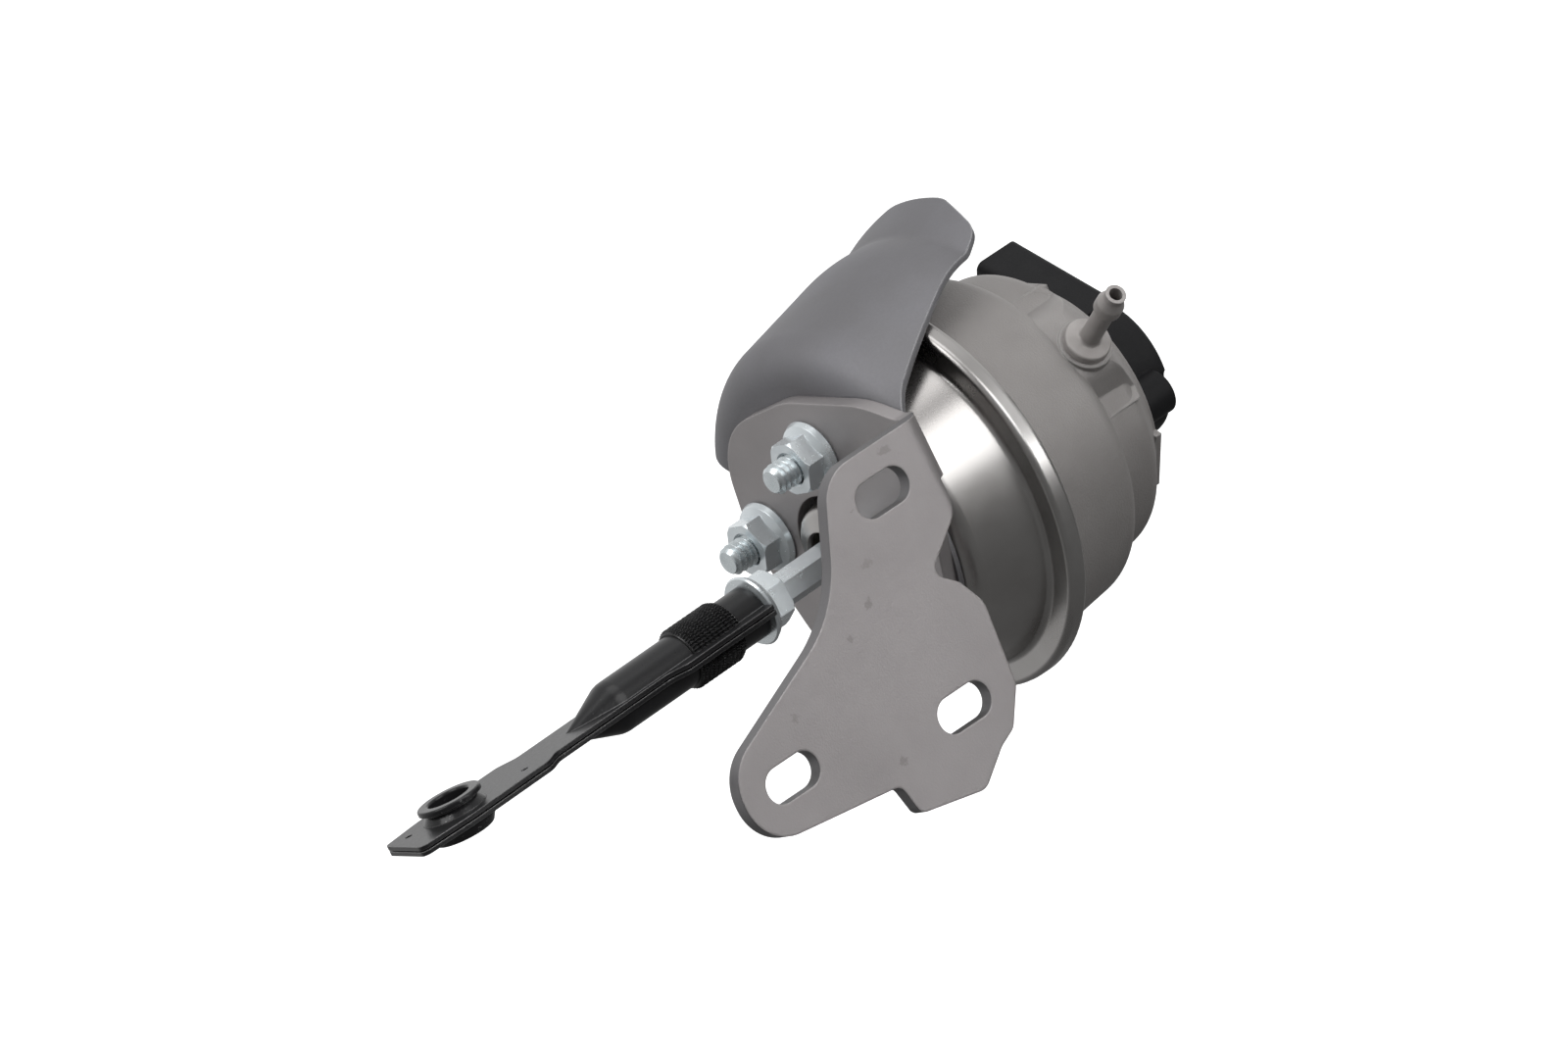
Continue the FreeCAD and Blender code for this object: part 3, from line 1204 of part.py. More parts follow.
def make_threaded_insert():
    """Knurled barrel between the link halves, on the rod's thread."""
    neck = s.link_tube - s.link_sheet - s.seat_gap
    near, far = -s.window_near - s.seat_gap, -s.window_far + s.seat_gap
    turned_piece("threaded_insert", [
        (link_near_x - s.seat_gap, s.nut_bore), (link_near_x - s.seat_gap, neck), (near, neck),
        (near, s.insert_knurl - s.insert_chamfer), (near - s.insert_chamfer, s.insert_knurl),
        (far + s.insert_chamfer, s.insert_knurl), (far, s.insert_knurl - s.insert_chamfer),
        (far, neck), (-s.insert_end, neck), (-s.insert_end, s.nut_bore),
    ], hanging=True)


def make_eye_bush():
    """Riveted bush with an upper flange and a lower collar, round the lever's pin."""
    body = new_piece("eye_bush", hanging=True)
    sketch = new_sketch(body, "XZ_Plane")
    sketch.setExpression("AttachmentOffset.Base.x", (-s.eye_at).text)
    under, top = s.link_gap + s.link_sheet, s.eye_top
    draw_outline(sketch, [
        (s.eye_bore, -s.eye_bottom), (s.eye_foot - 1.2, -s.eye_bottom, 0.8),
        (s.eye_foot, -under - 0.7, 0.8), (s.eye_foot, -under), (s.eye_neck, -under),
        (s.eye_neck, under), (s.eye_neck + 0.9, under), (s.eye_neck - 0.3, top - 1.4),
        (s.eye_rim, top - s.eye_rim_wall), (s.eye_rim, top, 0.4), (s.eye_bore, top, 0.5),
    ])
    add_turned(body, sketch, axis="V_Axis")


make_front_shell()
make_rear_housing()
make_hose_nipple()
make_bracket()
make_heat_shield()
make_stud("stud_upper", s.stud_upper_angle)
make_stud("stud_lower", s.stud_lower_angle)
for nut_name, nut_angle in (
    ("flange_nut_upper", s.stud_upper_angle), ("flange_nut_lower", s.stud_lower_angle)
):
    nut_across, nut_up = stud_place(nut_angle)
    make_nut(nut_name, plate_front_x, s.nut_height, -1, across=nut_across, up=nut_up)
make_piston_cup()
make_diaphragm()
make_clamp_plate()
make_ball_socket()
make_magnet_carrier()
make_magnet()
make_coil_spring()
make_spring_seat()
make_sensor_body()
make_connector_terminals()
make_circuit_board()
make_sensor_cover()
make_sensor_seal()
make_sensor_screws()
make_rod()
make_nut(
    "rod_lock_nut", -s.lock_nut_at - s.lock_nut_height, s.lock_nut_height, 1, hanging=True
)
make_link_half("link_upper_half", 1)
make_link_half("link_lower_half", -1)
make_threaded_insert()
make_eye_bush()

doc.recompute()
for item in doc.Objects:
    if "Invalid" in item.State or "Error" in item.State:
        raise RuntimeError(f"{item.Label} failed: {item.State}")
for body in parts:
    if body.Shape.isNull() or not body.Shape.isValid():
        raise RuntimeError(f"{body.Label} has no valid shape")
    if body.Label != "sensor_screws" and body.Label != "connector_terminals":
        if len(body.Shape.Solids) != 1:
            raise RuntimeError(f"{body.Label} has {len(body.Shape.Solids)} solids")

os.makedirs("parts", exist_ok=True)
for body in parts:
    body.Shape.exportStep(f"parts/{body.Label}.step")
print(len(parts), "parts written")
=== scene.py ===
import math

import bmesh
import bpy
from mathutils import Matrix, Vector


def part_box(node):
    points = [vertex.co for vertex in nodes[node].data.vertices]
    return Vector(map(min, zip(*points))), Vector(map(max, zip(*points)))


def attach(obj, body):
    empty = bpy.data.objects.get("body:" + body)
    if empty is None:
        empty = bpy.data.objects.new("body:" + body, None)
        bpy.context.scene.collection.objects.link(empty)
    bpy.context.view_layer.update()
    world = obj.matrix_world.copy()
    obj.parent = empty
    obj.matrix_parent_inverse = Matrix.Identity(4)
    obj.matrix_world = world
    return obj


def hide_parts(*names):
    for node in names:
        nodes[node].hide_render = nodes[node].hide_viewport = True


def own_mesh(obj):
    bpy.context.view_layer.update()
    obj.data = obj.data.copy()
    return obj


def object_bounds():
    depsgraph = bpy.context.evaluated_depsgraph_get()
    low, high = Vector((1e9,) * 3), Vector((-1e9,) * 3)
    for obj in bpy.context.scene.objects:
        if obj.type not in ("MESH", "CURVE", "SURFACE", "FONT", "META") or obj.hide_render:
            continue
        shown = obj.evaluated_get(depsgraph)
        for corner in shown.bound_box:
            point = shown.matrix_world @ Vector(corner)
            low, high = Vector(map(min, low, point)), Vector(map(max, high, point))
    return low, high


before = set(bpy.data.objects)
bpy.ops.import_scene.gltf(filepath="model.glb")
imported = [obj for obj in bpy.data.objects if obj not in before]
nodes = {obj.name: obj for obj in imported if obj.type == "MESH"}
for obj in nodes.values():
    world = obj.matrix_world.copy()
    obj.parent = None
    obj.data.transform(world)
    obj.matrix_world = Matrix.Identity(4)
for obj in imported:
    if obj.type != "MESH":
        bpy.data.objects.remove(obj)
cad_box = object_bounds()


# Camera. It stands far off with a long lens, as for a catalogue picture, and leans to one side, so
# that the canister's axis runs from lower left to upper right.
AXIS_Y = 0.041  # the canister's axis runs along X at this Y, where Z is zero
RIM_X = 0.0365  # where the rolled rim's plane meets the axis
RIM_CENTRE = Vector((RIM_X, AXIS_Y, 0.0))
CAMERA_DISTANCE = 4.0
PICTURE_WIDTH = 0.2909  # what the frame covers at the canister
AIM_LEFT, AIM_BELOW = 0.02682, 0.00618  # from the rim's centre to the middle of the picture
VIEW_END = 40.0
view_right = Vector((0.7035, -0.5643, -0.4317)).normalized()
view_up = Vector((0.4670, -0.0903, 0.8794))
view_back = view_right.cross(view_up).normalized()
view_up = view_back.cross(view_right)
aim = RIM_CENTRE - view_right * AIM_LEFT - view_up * AIM_BELOW

camera = bpy.data.objects.new("camera", bpy.data.cameras.new("camera"))
bpy.context.scene.collection.objects.link(camera)
camera.data.lens = camera.data.sensor_width * CAMERA_DISTANCE / PICTURE_WIDTH
camera.data.clip_end = VIEW_END
leaning = Matrix((view_right, view_up, view_back)).transposed().to_4x4()
camera.matrix_world = Matrix.Translation(aim + view_back * CAMERA_DISTANCE) @ leaning
bpy.context.scene.camera = camera
bpy.context.scene.view_settings.view_transform = "Standard"


# Studio. The floor and the backdrop are white to the camera and grey to the metal that mirrors
# them. The floor's grey is painted shade, darker in front, for the part's own shadow and the dim
# room. A weak softbox hangs overhead, and stronger ones on the right, on the left and over the
# camera. The room is dim behind the camera.
WHITE = (1.0, 1.0, 1.0, 1.0)
ROOM_LEVEL = 0.57  # the room's light at a right angle to the view
ROOM_FALL = -0.34  # its change towards the camera
ROOM_RISE = 0.08  # its change upwards
FLOOR_DROP = 0.12  # from the part down to the floor
FLOOR_SIZE = 30.0
DARK_Y, PALE_Y = 0.08, 0.70  # where the floor's painted shade starts and ends to turn paler
# the floor's grey in front and behind: painted shade, dark in front and pale behind
DARK_FLOOR, PALE_FLOOR = 0.095, 0.48
MIRRORED_SHARE = 0.4  # how much of the floor's painted shade glossy metal sees as a glow


def feed(tree, socket, value):
    """Give a socket a plain value, or link another node's output to it."""
    if isinstance(value, bpy.types.NodeSocket):
        tree.links.new(value, socket)
    else:
        socket.default_value = value


def add_node(tree, kind, inputs=None, **settings):
    """Add a node. An input is a number, a colour or another node's output socket."""
    made = tree.nodes.new(kind)
    for name, value in settings.items():
        setattr(made, name, value)
    for name, value in (inputs or {}).items():
        feed(tree, made.inputs[name], value)
    return made


def calculate(tree, operation, *values):
    """Add a math node and return its output."""
    inputs = dict(enumerate(values))
    return add_node(tree, "ShaderNodeMath", inputs, operation=operation).outputs[0]


def calculate_vector(tree, operation, *values):
    """Add a vector math node and return its outputs, Vector and Value."""
    inputs = dict(enumerate(values))
    return add_node(tree, "ShaderNodeVectorMath", inputs, operation=operation).outputs


world = bpy.data.worlds.new("studio")
bpy.context.scene.world = world
world.use_nodes = True
sky = world.node_tree
sky.nodes.clear()
direction = add_node(sky, "ShaderNodeTexCoord").outputs["Generated"]
towards_camera = calculate_vector(sky, "DOT_PRODUCT", direction, tuple(view_back))["Value"]
height = add_node(sky, "ShaderNodeSeparateXYZ", {"Vector": direction}).outputs["Z"]
room = calculate(sky, "MULTIPLY_ADD", towards_camera, ROOM_FALL, ROOM_LEVEL)
room = calculate(sky, "MULTIPLY_ADD", height, ROOM_RISE, room)
sky_rays = add_node(sky, "ShaderNodeLightPath").outputs
strength = calculate(sky, "MAXIMUM", room, sky_rays["Is Camera Ray"])
backdrop = add_node(sky, "ShaderNodeBackground", {"Color": WHITE, "Strength": strength})
add_node(sky, "ShaderNodeOutputWorld", {"Surface": backdrop.outputs[0]})

floor_mesh = bpy.data.meshes.new("floor")
flat = bmesh.new()
bmesh.ops.create_grid(flat, x_segments=1, y_segments=1, size=FLOOR_SIZE)
bmesh.ops.translate(flat, verts=flat.verts, vec=(0, 0, cad_box[0].z - FLOOR_DROP))
flat.to_mesh(floor_mesh)
flat.free()
floor = bpy.data.objects.new("floor", floor_mesh)
bpy.context.scene.collection.objects.link(floor)
paper = bpy.data.materials.new("white paper with painted shade")
paper.use_nodes = True
paper_tree = paper.node_tree
paper_tree.nodes.clear()
paper_rays = add_node(paper_tree, "ShaderNodeLightPath").outputs
paper_place = add_node(paper_tree, "ShaderNodeTexCoord").outputs["Object"]
paper_y = add_node(paper_tree, "ShaderNodeSeparateXYZ", {"Vector": paper_place}).outputs["Y"]
# Painted shade: the floor's grey runs from dark in front to pale behind, for the part's shadow and
# the dim room.
painted_floor_shade = add_node(
    paper_tree, "ShaderNodeMapRange",
    {"Value": paper_y, "From Min": DARK_Y, "From Max": PALE_Y, "To Min": DARK_FLOOR,
     "To Max": PALE_FLOOR},
    clamp=True, interpolation_type="SMOOTHSTEP",
).outputs["Result"]
mirrored_glow = calculate(
    paper_tree, "MULTIPLY", paper_rays["Is Glossy Ray"],
    calculate(paper_tree, "MULTIPLY", painted_floor_shade, MIRRORED_SHARE),
)
glow_strength = calculate(paper_tree, "MAXIMUM", paper_rays["Is Camera Ray"], mirrored_glow)
glow = add_node(paper_tree, "ShaderNodeEmission", {"Color": WHITE, "Strength": glow_strength})
matt = add_node(paper_tree, "ShaderNodeBsdfDiffuse", {"Color": painted_floor_shade})
both = add_node(paper_tree, "ShaderNodeAddShader", {0: glow.outputs[0], 1: matt.outputs[0]})
add_node(paper_tree, "ShaderNodeOutputMaterial", {"Surface": both.outputs[0]})
floor_mesh.materials.append(paper)


def add_softbox(name, right, up, back, distance, size, power):
    """Add an area lamp that faces the canister, placed as seen from the camera."""
    lamp = bpy.data.lights.new(name, "AREA")
    lamp.shape = "DISK"
    lamp.size = size
    lamp.energy = power
    way = (view_right * right + view_up * up + view_back * back).normalized()
    made = bpy.data.objects.new(name, lamp)
    made.rotation_mode = "QUATERNION"
    made.rotation_quaternion = way.to_track_quat("Z", "Y")
    made.location = RIM_CENTRE + way * distance
    bpy.context.scene.collection.objects.link(made)


add_softbox("softbox_top", right=-0.20, up=0.93, back=0.30, distance=1.3, size=0.9, power=3.2)
add_softbox("softbox_right", right=0.93, up=0.10, back=0.38, distance=1.6, size=1.0, power=15.0)
add_softbox("softbox_front", right=0.38, up=0.55, back=0.75, distance=1.8, size=1.2, power=10.5)
add_softbox("softbox_left", right=-0.75, up=0.40, back=0.52, distance=1.8, size=1.1, power=10.0)


# Front shell. The canister's front half, deep-drawn from bright steel sheet, with a boss for the
# rod. Its rim is rolled over the flange of the rear housing and holds the diaphragm's bead.
MM = 0.001
CLOUD_HEIGHT = 0.35  # how much the clouds rise, where the grains rise by one
EDGE_PATCHES = 420.0  # patches per metre in which an edge is marked: worn on a coat, a painted highlight on bare metal
RING_DRIFT = 0.0015  # how far the drawn rings' pattern moves in a radian
CLOUD_LEVELS = (0.35, 0.65)  # between these a cloud goes from the darker to the lighter tone
CLOUD_MATTNESS = 0.05  # how much rougher the lighter tone is


def new_group(name, inputs, outputs, kind="ShaderNodeTree"):
    """Start a node group. Inputs and outputs are names with their sockets' types."""
    group = bpy.data.node_groups.new(name, kind)
    for way, sockets in (("INPUT", inputs), ("OUTPUT", outputs)):
        for socket_name, socket_type in sockets.items():
            group.interface.new_socket(socket_name, in_out=way, socket_type=socket_type)
    source = group.nodes.new("NodeGroupInput").outputs
    drain = group.nodes.new("NodeGroupOutput").inputs
    return group, source, drain


# Grain: fine unevenness of a surface, in broad clouds and in grains.
grain, grain_in, grain_out = new_group(
    "surface grain",
    {"Vector": "NodeSocketVector", "Grains per Metre": "NodeSocketFloat",
     "Clouds per Metre": "NodeSocketFloat"},
    {"Grain": "NodeSocketFloat", "Cloud": "NodeSocketFloat", "Height": "NodeSocketFloat"},
)
fine = add_node(
    grain, "ShaderNodeTexNoise",
    {"Vector": grain_in["Vector"], "Scale": grain_in["Grains per Metre"], "Detail": 3.0,
     "Roughness": 0.6},
).outputs["Fac"]
broad = add_node(
    grain, "ShaderNodeTexNoise",
    {"Vector": grain_in["Vector"], "Scale": grain_in["Clouds per Metre"], "Detail": 4.0,
     "Roughness": 0.55},
).outputs["Fac"]
feed(grain, grain_out["Grain"], fine)
feed(grain, grain_out["Cloud"], broad)
feed(grain, grain_out["Height"], calculate(grain, "MULTIPLY_ADD", broad, CLOUD_HEIGHT, fine))

# Soft edges: no real edge is knife-sharp. The normal bends over edges, and the mask marks them in
# patches: wear where a coat is rubbed bare, a painted highlight on bare metal.
edges, edges_in, edges_out = new_group(
    "soft edges",
    {"Vector": "NodeSocketVector", "Radius": "NodeSocketFloat"},
    {"Normal": "NodeSocketVector", "Mask": "NodeSocketFloat"},
)
rounded = add_node(edges, "ShaderNodeBevel", {"Radius": edges_in["Radius"]}, samples=4).outputs[0]
plain = add_node(edges, "ShaderNodeNewGeometry").outputs["Normal"]
agreement = calculate_vector(edges, "DOT_PRODUCT", rounded, plain)["Value"]
bent = calculate(edges, "SUBTRACT", 1.0, agreement)
patches = add_node(
    edges, "ShaderNodeTexNoise",
    {"Vector": edges_in["Vector"], "Scale": EDGE_PATCHES, "Detail": 2.0},
).outputs["Fac"]
edge_wear_and_highlight = calculate(edges, "MULTIPLY", bent, patches)
mask = add_node(
    edges, "ShaderNodeMapRange", {"Value": edge_wear_and_highlight, "From Min": 0.012, "From Max": 0.07}, clamp=True
).outputs["Result"]
feed(edges, edges_out["Normal"], rounded)
feed(edges, edges_out["Mask"], mask)

# Drawn rings: fine lines that run round the canister's axis, left by the drawing die.
rings, rings_in, rings_out = new_group(
    "drawn rings",
    {"Vector": "NodeSocketVector", "Lines per Metre": "NodeSocketFloat"},
    {"Height": "NodeSocketFloat"},
)
from_axis = calculate_vector(rings, "SUBTRACT", rings_in["Vector"], (0.0, AXIS_Y, 0.0))["Vector"]
axis_parts = add_node(rings, "ShaderNodeSeparateXYZ", {"Vector": from_axis}).outputs
side, rise = axis_parts["Y"], axis_parts["Z"]
axis_radius = calculate(
    rings, "SQRT",
    calculate(rings, "MULTIPLY_ADD", side, side, calculate(rings, "MULTIPLY", rise, rise)),
)
axis_angle = calculate(rings, "ARCTAN2", rise, calculate(rings, "MULTIPLY", side, -1.0))
along_skin = add_node(
    rings, "ShaderNodeCombineXYZ",
    {"X": axis_parts["X"], "Y": axis_radius,
     "Z": calculate(rings, "MULTIPLY", axis_angle, RING_DRIFT)},
)
drawn = add_node(
    rings, "ShaderNodeTexNoise",
    {"Vector": along_skin.outputs[0], "Scale": rings_in["Lines per Metre"], "Detail": 3.0},
)
feed(rings, rings_out["Height"], drawn.outputs["Fac"])


def new_finish(name, sockets):
    """Start a material and set its shader's own sockets."""
    made = bpy.data.materials.new(name)
    made.use_nodes = True
    shader = made.node_tree.nodes["Principled BSDF"]
    for socket, value in sockets.items():
        shader.inputs[socket].default_value = value
    return made, made.node_tree, shader


def place_on_piece(tree):
    """Return the coordinates that a piece's texture is fixed to."""
    return add_node(tree, "ShaderNodeTexCoord").outputs["Object"]


def place_group(tree, group, inputs):
    """Place a node group in a material and return its outputs."""
    return add_node(tree, "ShaderNodeGroup", inputs, node_tree=group).outputs


def mix_colour(tree, factor, first, second):
    """Mix two colours by a factor that changes over the surface."""
    inputs = {0: factor, 6: first, 7: second}  # numbered, because a Mix node repeats their names
    return add_node(tree, "ShaderNodeMix", inputs, data_type="RGBA").outputs[2]


def remap(tree, value, low, high, start=0.0, end=1.0):
    """Turn what runs from start to end into what runs from low to high, and no further."""
    made = add_node(
        tree, "ShaderNodeMapRange",
        {"Value": value, "From Min": start, "From Max": end, "To Min": low, "To Max": high},
        clamp=True,
    )
    return made.outputs["Result"]


def lay_skin(tree, place, grains, clouds, edge):
    """Place the grain and the soft edges in a material and return the outputs of both."""
    texture = place_group(
        tree, grain, {"Vector": place, "Grains per Metre": grains, "Clouds per Metre": clouds}
    )
    return texture, place_group(tree, edges, {"Vector": place, "Radius": edge})


def raise_skin(tree, shader, height, soft_normal, distance, strength=0.5):
    """Raise a texture on a skin whose edges are soft."""
    raised = add_node(
        tree, "ShaderNodeBump",
        {"Strength": strength, "Distance": distance, "Height": height, "Normal": soft_normal},
    )
    feed(tree, shader.inputs["Normal"], raised.outputs["Normal"])


def metal_finish(
    name, colour, shade, roughness, grains, clouds=60.0, lines=0.0, bump=0.02, edge=0.0004,
    edge_highlight_colour=None, metallic=1.0, uneven_by=0.12,
):
    """A bare metal: two tones in clouds, uneven roughness, fine grain and a painted highlight on
    soft edges.

    A drawn or turned one also has lines per metre round the canister's axis. The bump is in
    millimetres and the edge in metres.
    """
    made, tree, shader = new_finish(name, {"Metallic": metallic})
    place = place_on_piece(tree)
    texture, soft = lay_skin(tree, place, grains, clouds, edge)
    tone = remap(tree, texture["Cloud"], 0.0, 1.0, *CLOUD_LEVELS)
    body_colour = mix_colour(tree, tone, shade, colour)
    # Painted highlight: the lighter edge colour is mixed in where the soft-edge mask is.
    if edge_highlight_colour is not None:
        body_colour = mix_colour(tree, soft["Mask"], body_colour, edge_highlight_colour)
    feed(tree, shader.inputs["Base Color"], body_colour)
    uneven = calculate(
        tree, "MULTIPLY_ADD", texture["Grain"], uneven_by, roughness - uneven_by / 2
    )
    uneven = calculate(tree, "MULTIPLY_ADD", tone, CLOUD_MATTNESS, uneven)
    feed(tree, shader.inputs["Roughness"], uneven)
    height = texture["Height"]
    if lines:
        height = place_group(tree, rings, {"Vector": place, "Lines per Metre": lines})["Height"]
    raise_skin(tree, shader, height, soft["Normal"], bump * MM)
    return made


def dress(finish, *names):
    """Give CAD nodes a finish."""
    for name in names:
        for slot in nodes[name].material_slots:
            slot.material = finish


bright_steel = metal_finish(
    "bright drawn steel", colour=(0.50, 0.49, 0.48, 1.0), shade=(0.42, 0.405, 0.395, 1.0),
    roughness=0.27, grains=1800.0, clouds=45.0, lines=700.0, bump=0.003, uneven_by=0.03,
)
dress(bright_steel, "front_shell")


# Rear housing. Die-cast aluminium, tumbled matt, with two tiers and a pad for the hose nipple. It
# holds the spring and the sensor.
cast_aluminium = metal_finish(
    "matt cast aluminium", colour=(0.320, 0.305, 0.298, 1.0), shade=(0.286, 0.271, 0.264, 1.0),
    roughness=0.50, grains=2600.0, bump=0.16, edge=0.0006, edge_highlight_colour=(0.42, 0.41, 0.40, 1.0),
    metallic=0.4,
)
dress(cast_aluminium, "rear_housing")


# Hose nipple. Turned from steel and pressed into the housing's pad. The bulb near its mouth holds
# the vacuum hose.
nipple_steel = metal_finish(
    "tumbled nipple steel", colour=(0.40, 0.38, 0.37, 1.0), shade=(0.34, 0.32, 0.31, 1.0),
    roughness=0.46, grains=4000.0, clouds=200.0, bump=0.04, edge=0.0003,
    edge_highlight_colour=(0.45, 0.44, 0.43, 1.0), metallic=0.35,
)
dress(nipple_steel, "hose_nipple")


# Bracket. Three-millimetre steel sheet, stamped and bent to an L, with three slots in the flange.
# Stamping leaves a dull satin skin and a few grey scuffs. The edges are painted brighter as a
# highlight, and the cut sides darker: partly their rougher skin, partly painted shade.
SCUFF_RAGGEDNESS = 0.0026  # how far the noise moves a scuff's outline
SCUFF_GRAINS = 1100.0
SCUFF_DEPTH = 0.0025  # how deep into the sheet a scuff is seen
SCUFF_CORE = 0.55  # the share of its size in which a scuff has its full tone
SCUFF_TONE = (0.29, 0.275, 0.27, 1.0)
SCUFFS = (
    (4.2, 20.9, 1.8, 1.0), (-10.0, 4.9, 1.6, 0.9), (-13.5, -1.6, 1.2, 1.3),
    (-20.5, -5.1, 0.8, 0.8), (-21.8, -29.8, 1.3, 0.9), (-38.9, -11.8, 1.0, 1.2),
    (-7.9, 14.7, 0.5, 0.5),
)
FLANGE_TOP = 0.0034  # the whole thickness of the flange lies below this Y
# the cut sides' darker colour: rough sheared skin and painted shade
CUT_SIDE_SHADE = (0.19, 0.185, 0.19, 1.0)
SIDE_LEVEL, FACE_LEVEL = 0.35, 0.75  # how far along Y the normals of cut sides and faces point

scuffed_steel = metal_finish(
    "stamped bracket steel", colour=(0.385, 0.364, 0.366, 1.0), shade=(0.330, 0.312, 0.313, 1.0),
    roughness=0.43, grains=2200.0, clouds=40.0, bump=0.06, edge=0.0005,
    edge_highlight_colour=(0.44, 0.42, 0.42, 1.0), metallic=0.75,
)


def cover_colour(finish, share, tone):
    """Mix a tone into a finish's colour where the share says."""
    tree = finish.node_tree
    socket = tree.nodes["Principled BSDF"].inputs["Base Color"]
    feed(tree, socket, mix_colour(tree, share, socket.links[0].from_socket, tone))


def add_scuffs(finish, spots, tone):
    """Rub marks into a finish. A spot is its centre and half sizes in millimetres."""
    tree = finish.node_tree
    place = place_on_piece(tree)
    noise = add_node(
        tree, "ShaderNodeTexNoise", {"Vector": place, "Scale": SCUFF_GRAINS, "Detail": 4.0}
    ).outputs["Color"]
    reach = (SCUFF_RAGGEDNESS, 0.0, SCUFF_RAGGEDNESS)
    ragged = calculate_vector(tree, "MULTIPLY_ADD", noise, reach, place)["Vector"]
    rubbed = 0.0
    for x, z, half_x, half_z in spots:
        centre = (x * MM + SCUFF_RAGGEDNESS / 2, 0.0, z * MM + SCUFF_RAGGEDNESS / 2)
        spread = (1.0 / (half_x * MM), 1.0 / SCUFF_DEPTH, 1.0 / (half_z * MM))
        away = calculate_vector(tree, "SUBTRACT", ragged, centre)["Vector"]
        away = calculate_vector(tree, "MULTIPLY", away, spread)["Vector"]
        away = calculate_vector(tree, "LENGTH", away)["Value"]
        rubbed = calculate(tree, "MAXIMUM", rubbed, remap(tree, away, 1.0, 0.0, SCUFF_CORE, 1.0))
    cover_colour(finish, rubbed, tone)


def paint_shade_on_cut_sides(finish, tone):
    """Paint the flange's sideways faces darker: partly the rough sheared skin, partly painted
    shade.
    """
    tree = finish.node_tree
    facing = add_node(tree, "ShaderNodeNewGeometry").outputs["Normal"]
    depth = add_node(tree, "ShaderNodeSeparateXYZ", {"Vector": place_on_piece(tree)}).outputs["Y"]
    across = add_node(tree, "ShaderNodeSeparateXYZ", {"Vector": facing}).outputs["Y"]
    on_side = remap(tree, calculate(tree, "ABSOLUTE", across), 1.0, 0.0, SIDE_LEVEL, FACE_LEVEL)
    in_flange = calculate(tree, "LESS_THAN", depth, FLANGE_TOP)
    cover_colour(finish, calculate(tree, "MULTIPLY", on_side, in_flange), tone)


add_scuffs(scuffed_steel, SCUFFS, SCUFF_TONE)
paint_shade_on_cut_sides(scuffed_steel, CUT_SIDE_SHADE)
dress(scuffed_steel, "bracket")


# Heat shield. Thin coated sheet, formed round the top of the canister and caught between the
# bracket and the front shell.
shield_steel = metal_finish(
    "coated shield sheet", colour=(0.250, 0.248, 0.262, 1.0), shade=(0.222, 0.219, 0.228, 1.0),
    roughness=0.60, grains=1800.0, clouds=50.0, bump=0.05, edge=0.0005,
    edge_highlight_colour=(0.5, 0.5, 0.51, 1.0),
)
dress(shield_steel, "heat_shield")


# Studs and nuts. Two threaded weld studs stand out of the front shell and carry M6 flange nuts.
# Their zinc plating is bright and a little blue.
WELD_DISTANCE = 0.000002
NUT_TURN = math.radians(30)
NUT_EDGE_ANGLE = math.radians(25)
zinc = metal_finish(
    "blue zinc plating", colour=(0.78, 0.83, 0.85, 1.0), shade=(0.70, 0.75, 0.78, 1.0),
    roughness=0.22, grains=1200.0, clouds=160.0, bump=0.003, edge=0.00015, metallic=0.62,
)


def finish_mesh(mesh, placed=Matrix()):
    """Weld doubles, drop loose edges, turn all faces outward and put the mesh in its place."""
    work = bmesh.new()
    work.from_mesh(mesh)
    bmesh.ops.remove_doubles(work, verts=work.verts, dist=WELD_DISTANCE)
    bmesh.ops.delete(work, geom=[e for e in work.edges if not e.link_faces], context="EDGES")
    bmesh.ops.delete(work, geom=[v for v in work.verts if not v.link_faces], context="VERTS")
    bmesh.ops.recalc_face_normals(work, faces=work.faces)
    work.to_mesh(mesh)
    work.free()
    mesh.transform(placed)
    mesh.update()


def smooth_faces(mesh):
    """Shade a mesh's faces as one round skin."""
    for face in mesh.polygons:
        face.use_smooth = True


# Both nuts were tightened until a flat of their hexagon lay on top.
for nut_name in ("flange_nut_upper", "flange_nut_lower"):
    low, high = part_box(nut_name)
    centre = (low + high) / 2
    nut = bpy.data.objects.new(nut_name + "_tight", nodes[nut_name].data.copy())
    bpy.context.scene.collection.objects.link(nut)
    finish_mesh(
        nut.data,
        Matrix.Translation(centre) @ Matrix.Rotation(NUT_TURN, 4, "X")
        @ Matrix.Translation(-centre),
    )
    smooth_faces(nut.data)
    if "custom_normal" in nut.data.attributes:
        nut.data.attributes.remove(nut.data.attributes["custom_normal"])
    nut.data.set_sharp_from_angle(angle=NUT_EDGE_ANGLE)
    nut.data.materials.clear()
    nut.data.materials.append(zinc)
    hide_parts(nut_name)
    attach(nut, "canister")

# Turned ridges: a turned bar along X whose skin carries a screw thread or a knurl. Rows of points
# run along the bar and columns round it. The first row and the last two line the bore.
CREST_EDGE, ROOT_EDGE = 0.08, 0.40  # shares of a ridge's pitch, from the middle of its crest
BAND_EDGE, GROOVE_EDGE = 0.26, 0.40  # the same for the grooves that run round a knurl
RIDGE_SIZES = (
    "Length", "Crest", "Depth", "Turns per Metre", "Ridges", "Rings per Metre", "Ring Depth",
    "Chamfer", "Bore", "Neck Start", "Neck End", "Neck Radius",
)
ridges, ridges_in, ridges_out = new_group(
    "turned ridges",
    {**dict.fromkeys(RIDGE_SIZES, "NodeSocketFloat"),
     "Rows": "NodeSocketInt", "Columns": "NodeSocketInt", "Material": "NodeSocketMaterial"},
    {"Geometry": "NodeSocketGeometry"},
    kind="GeometryNodeTree",
)


def work_out(operation, *values):
    """Add a math node to the tree of the turned ridges and return its output."""
    return calculate(ridges, operation, *values)


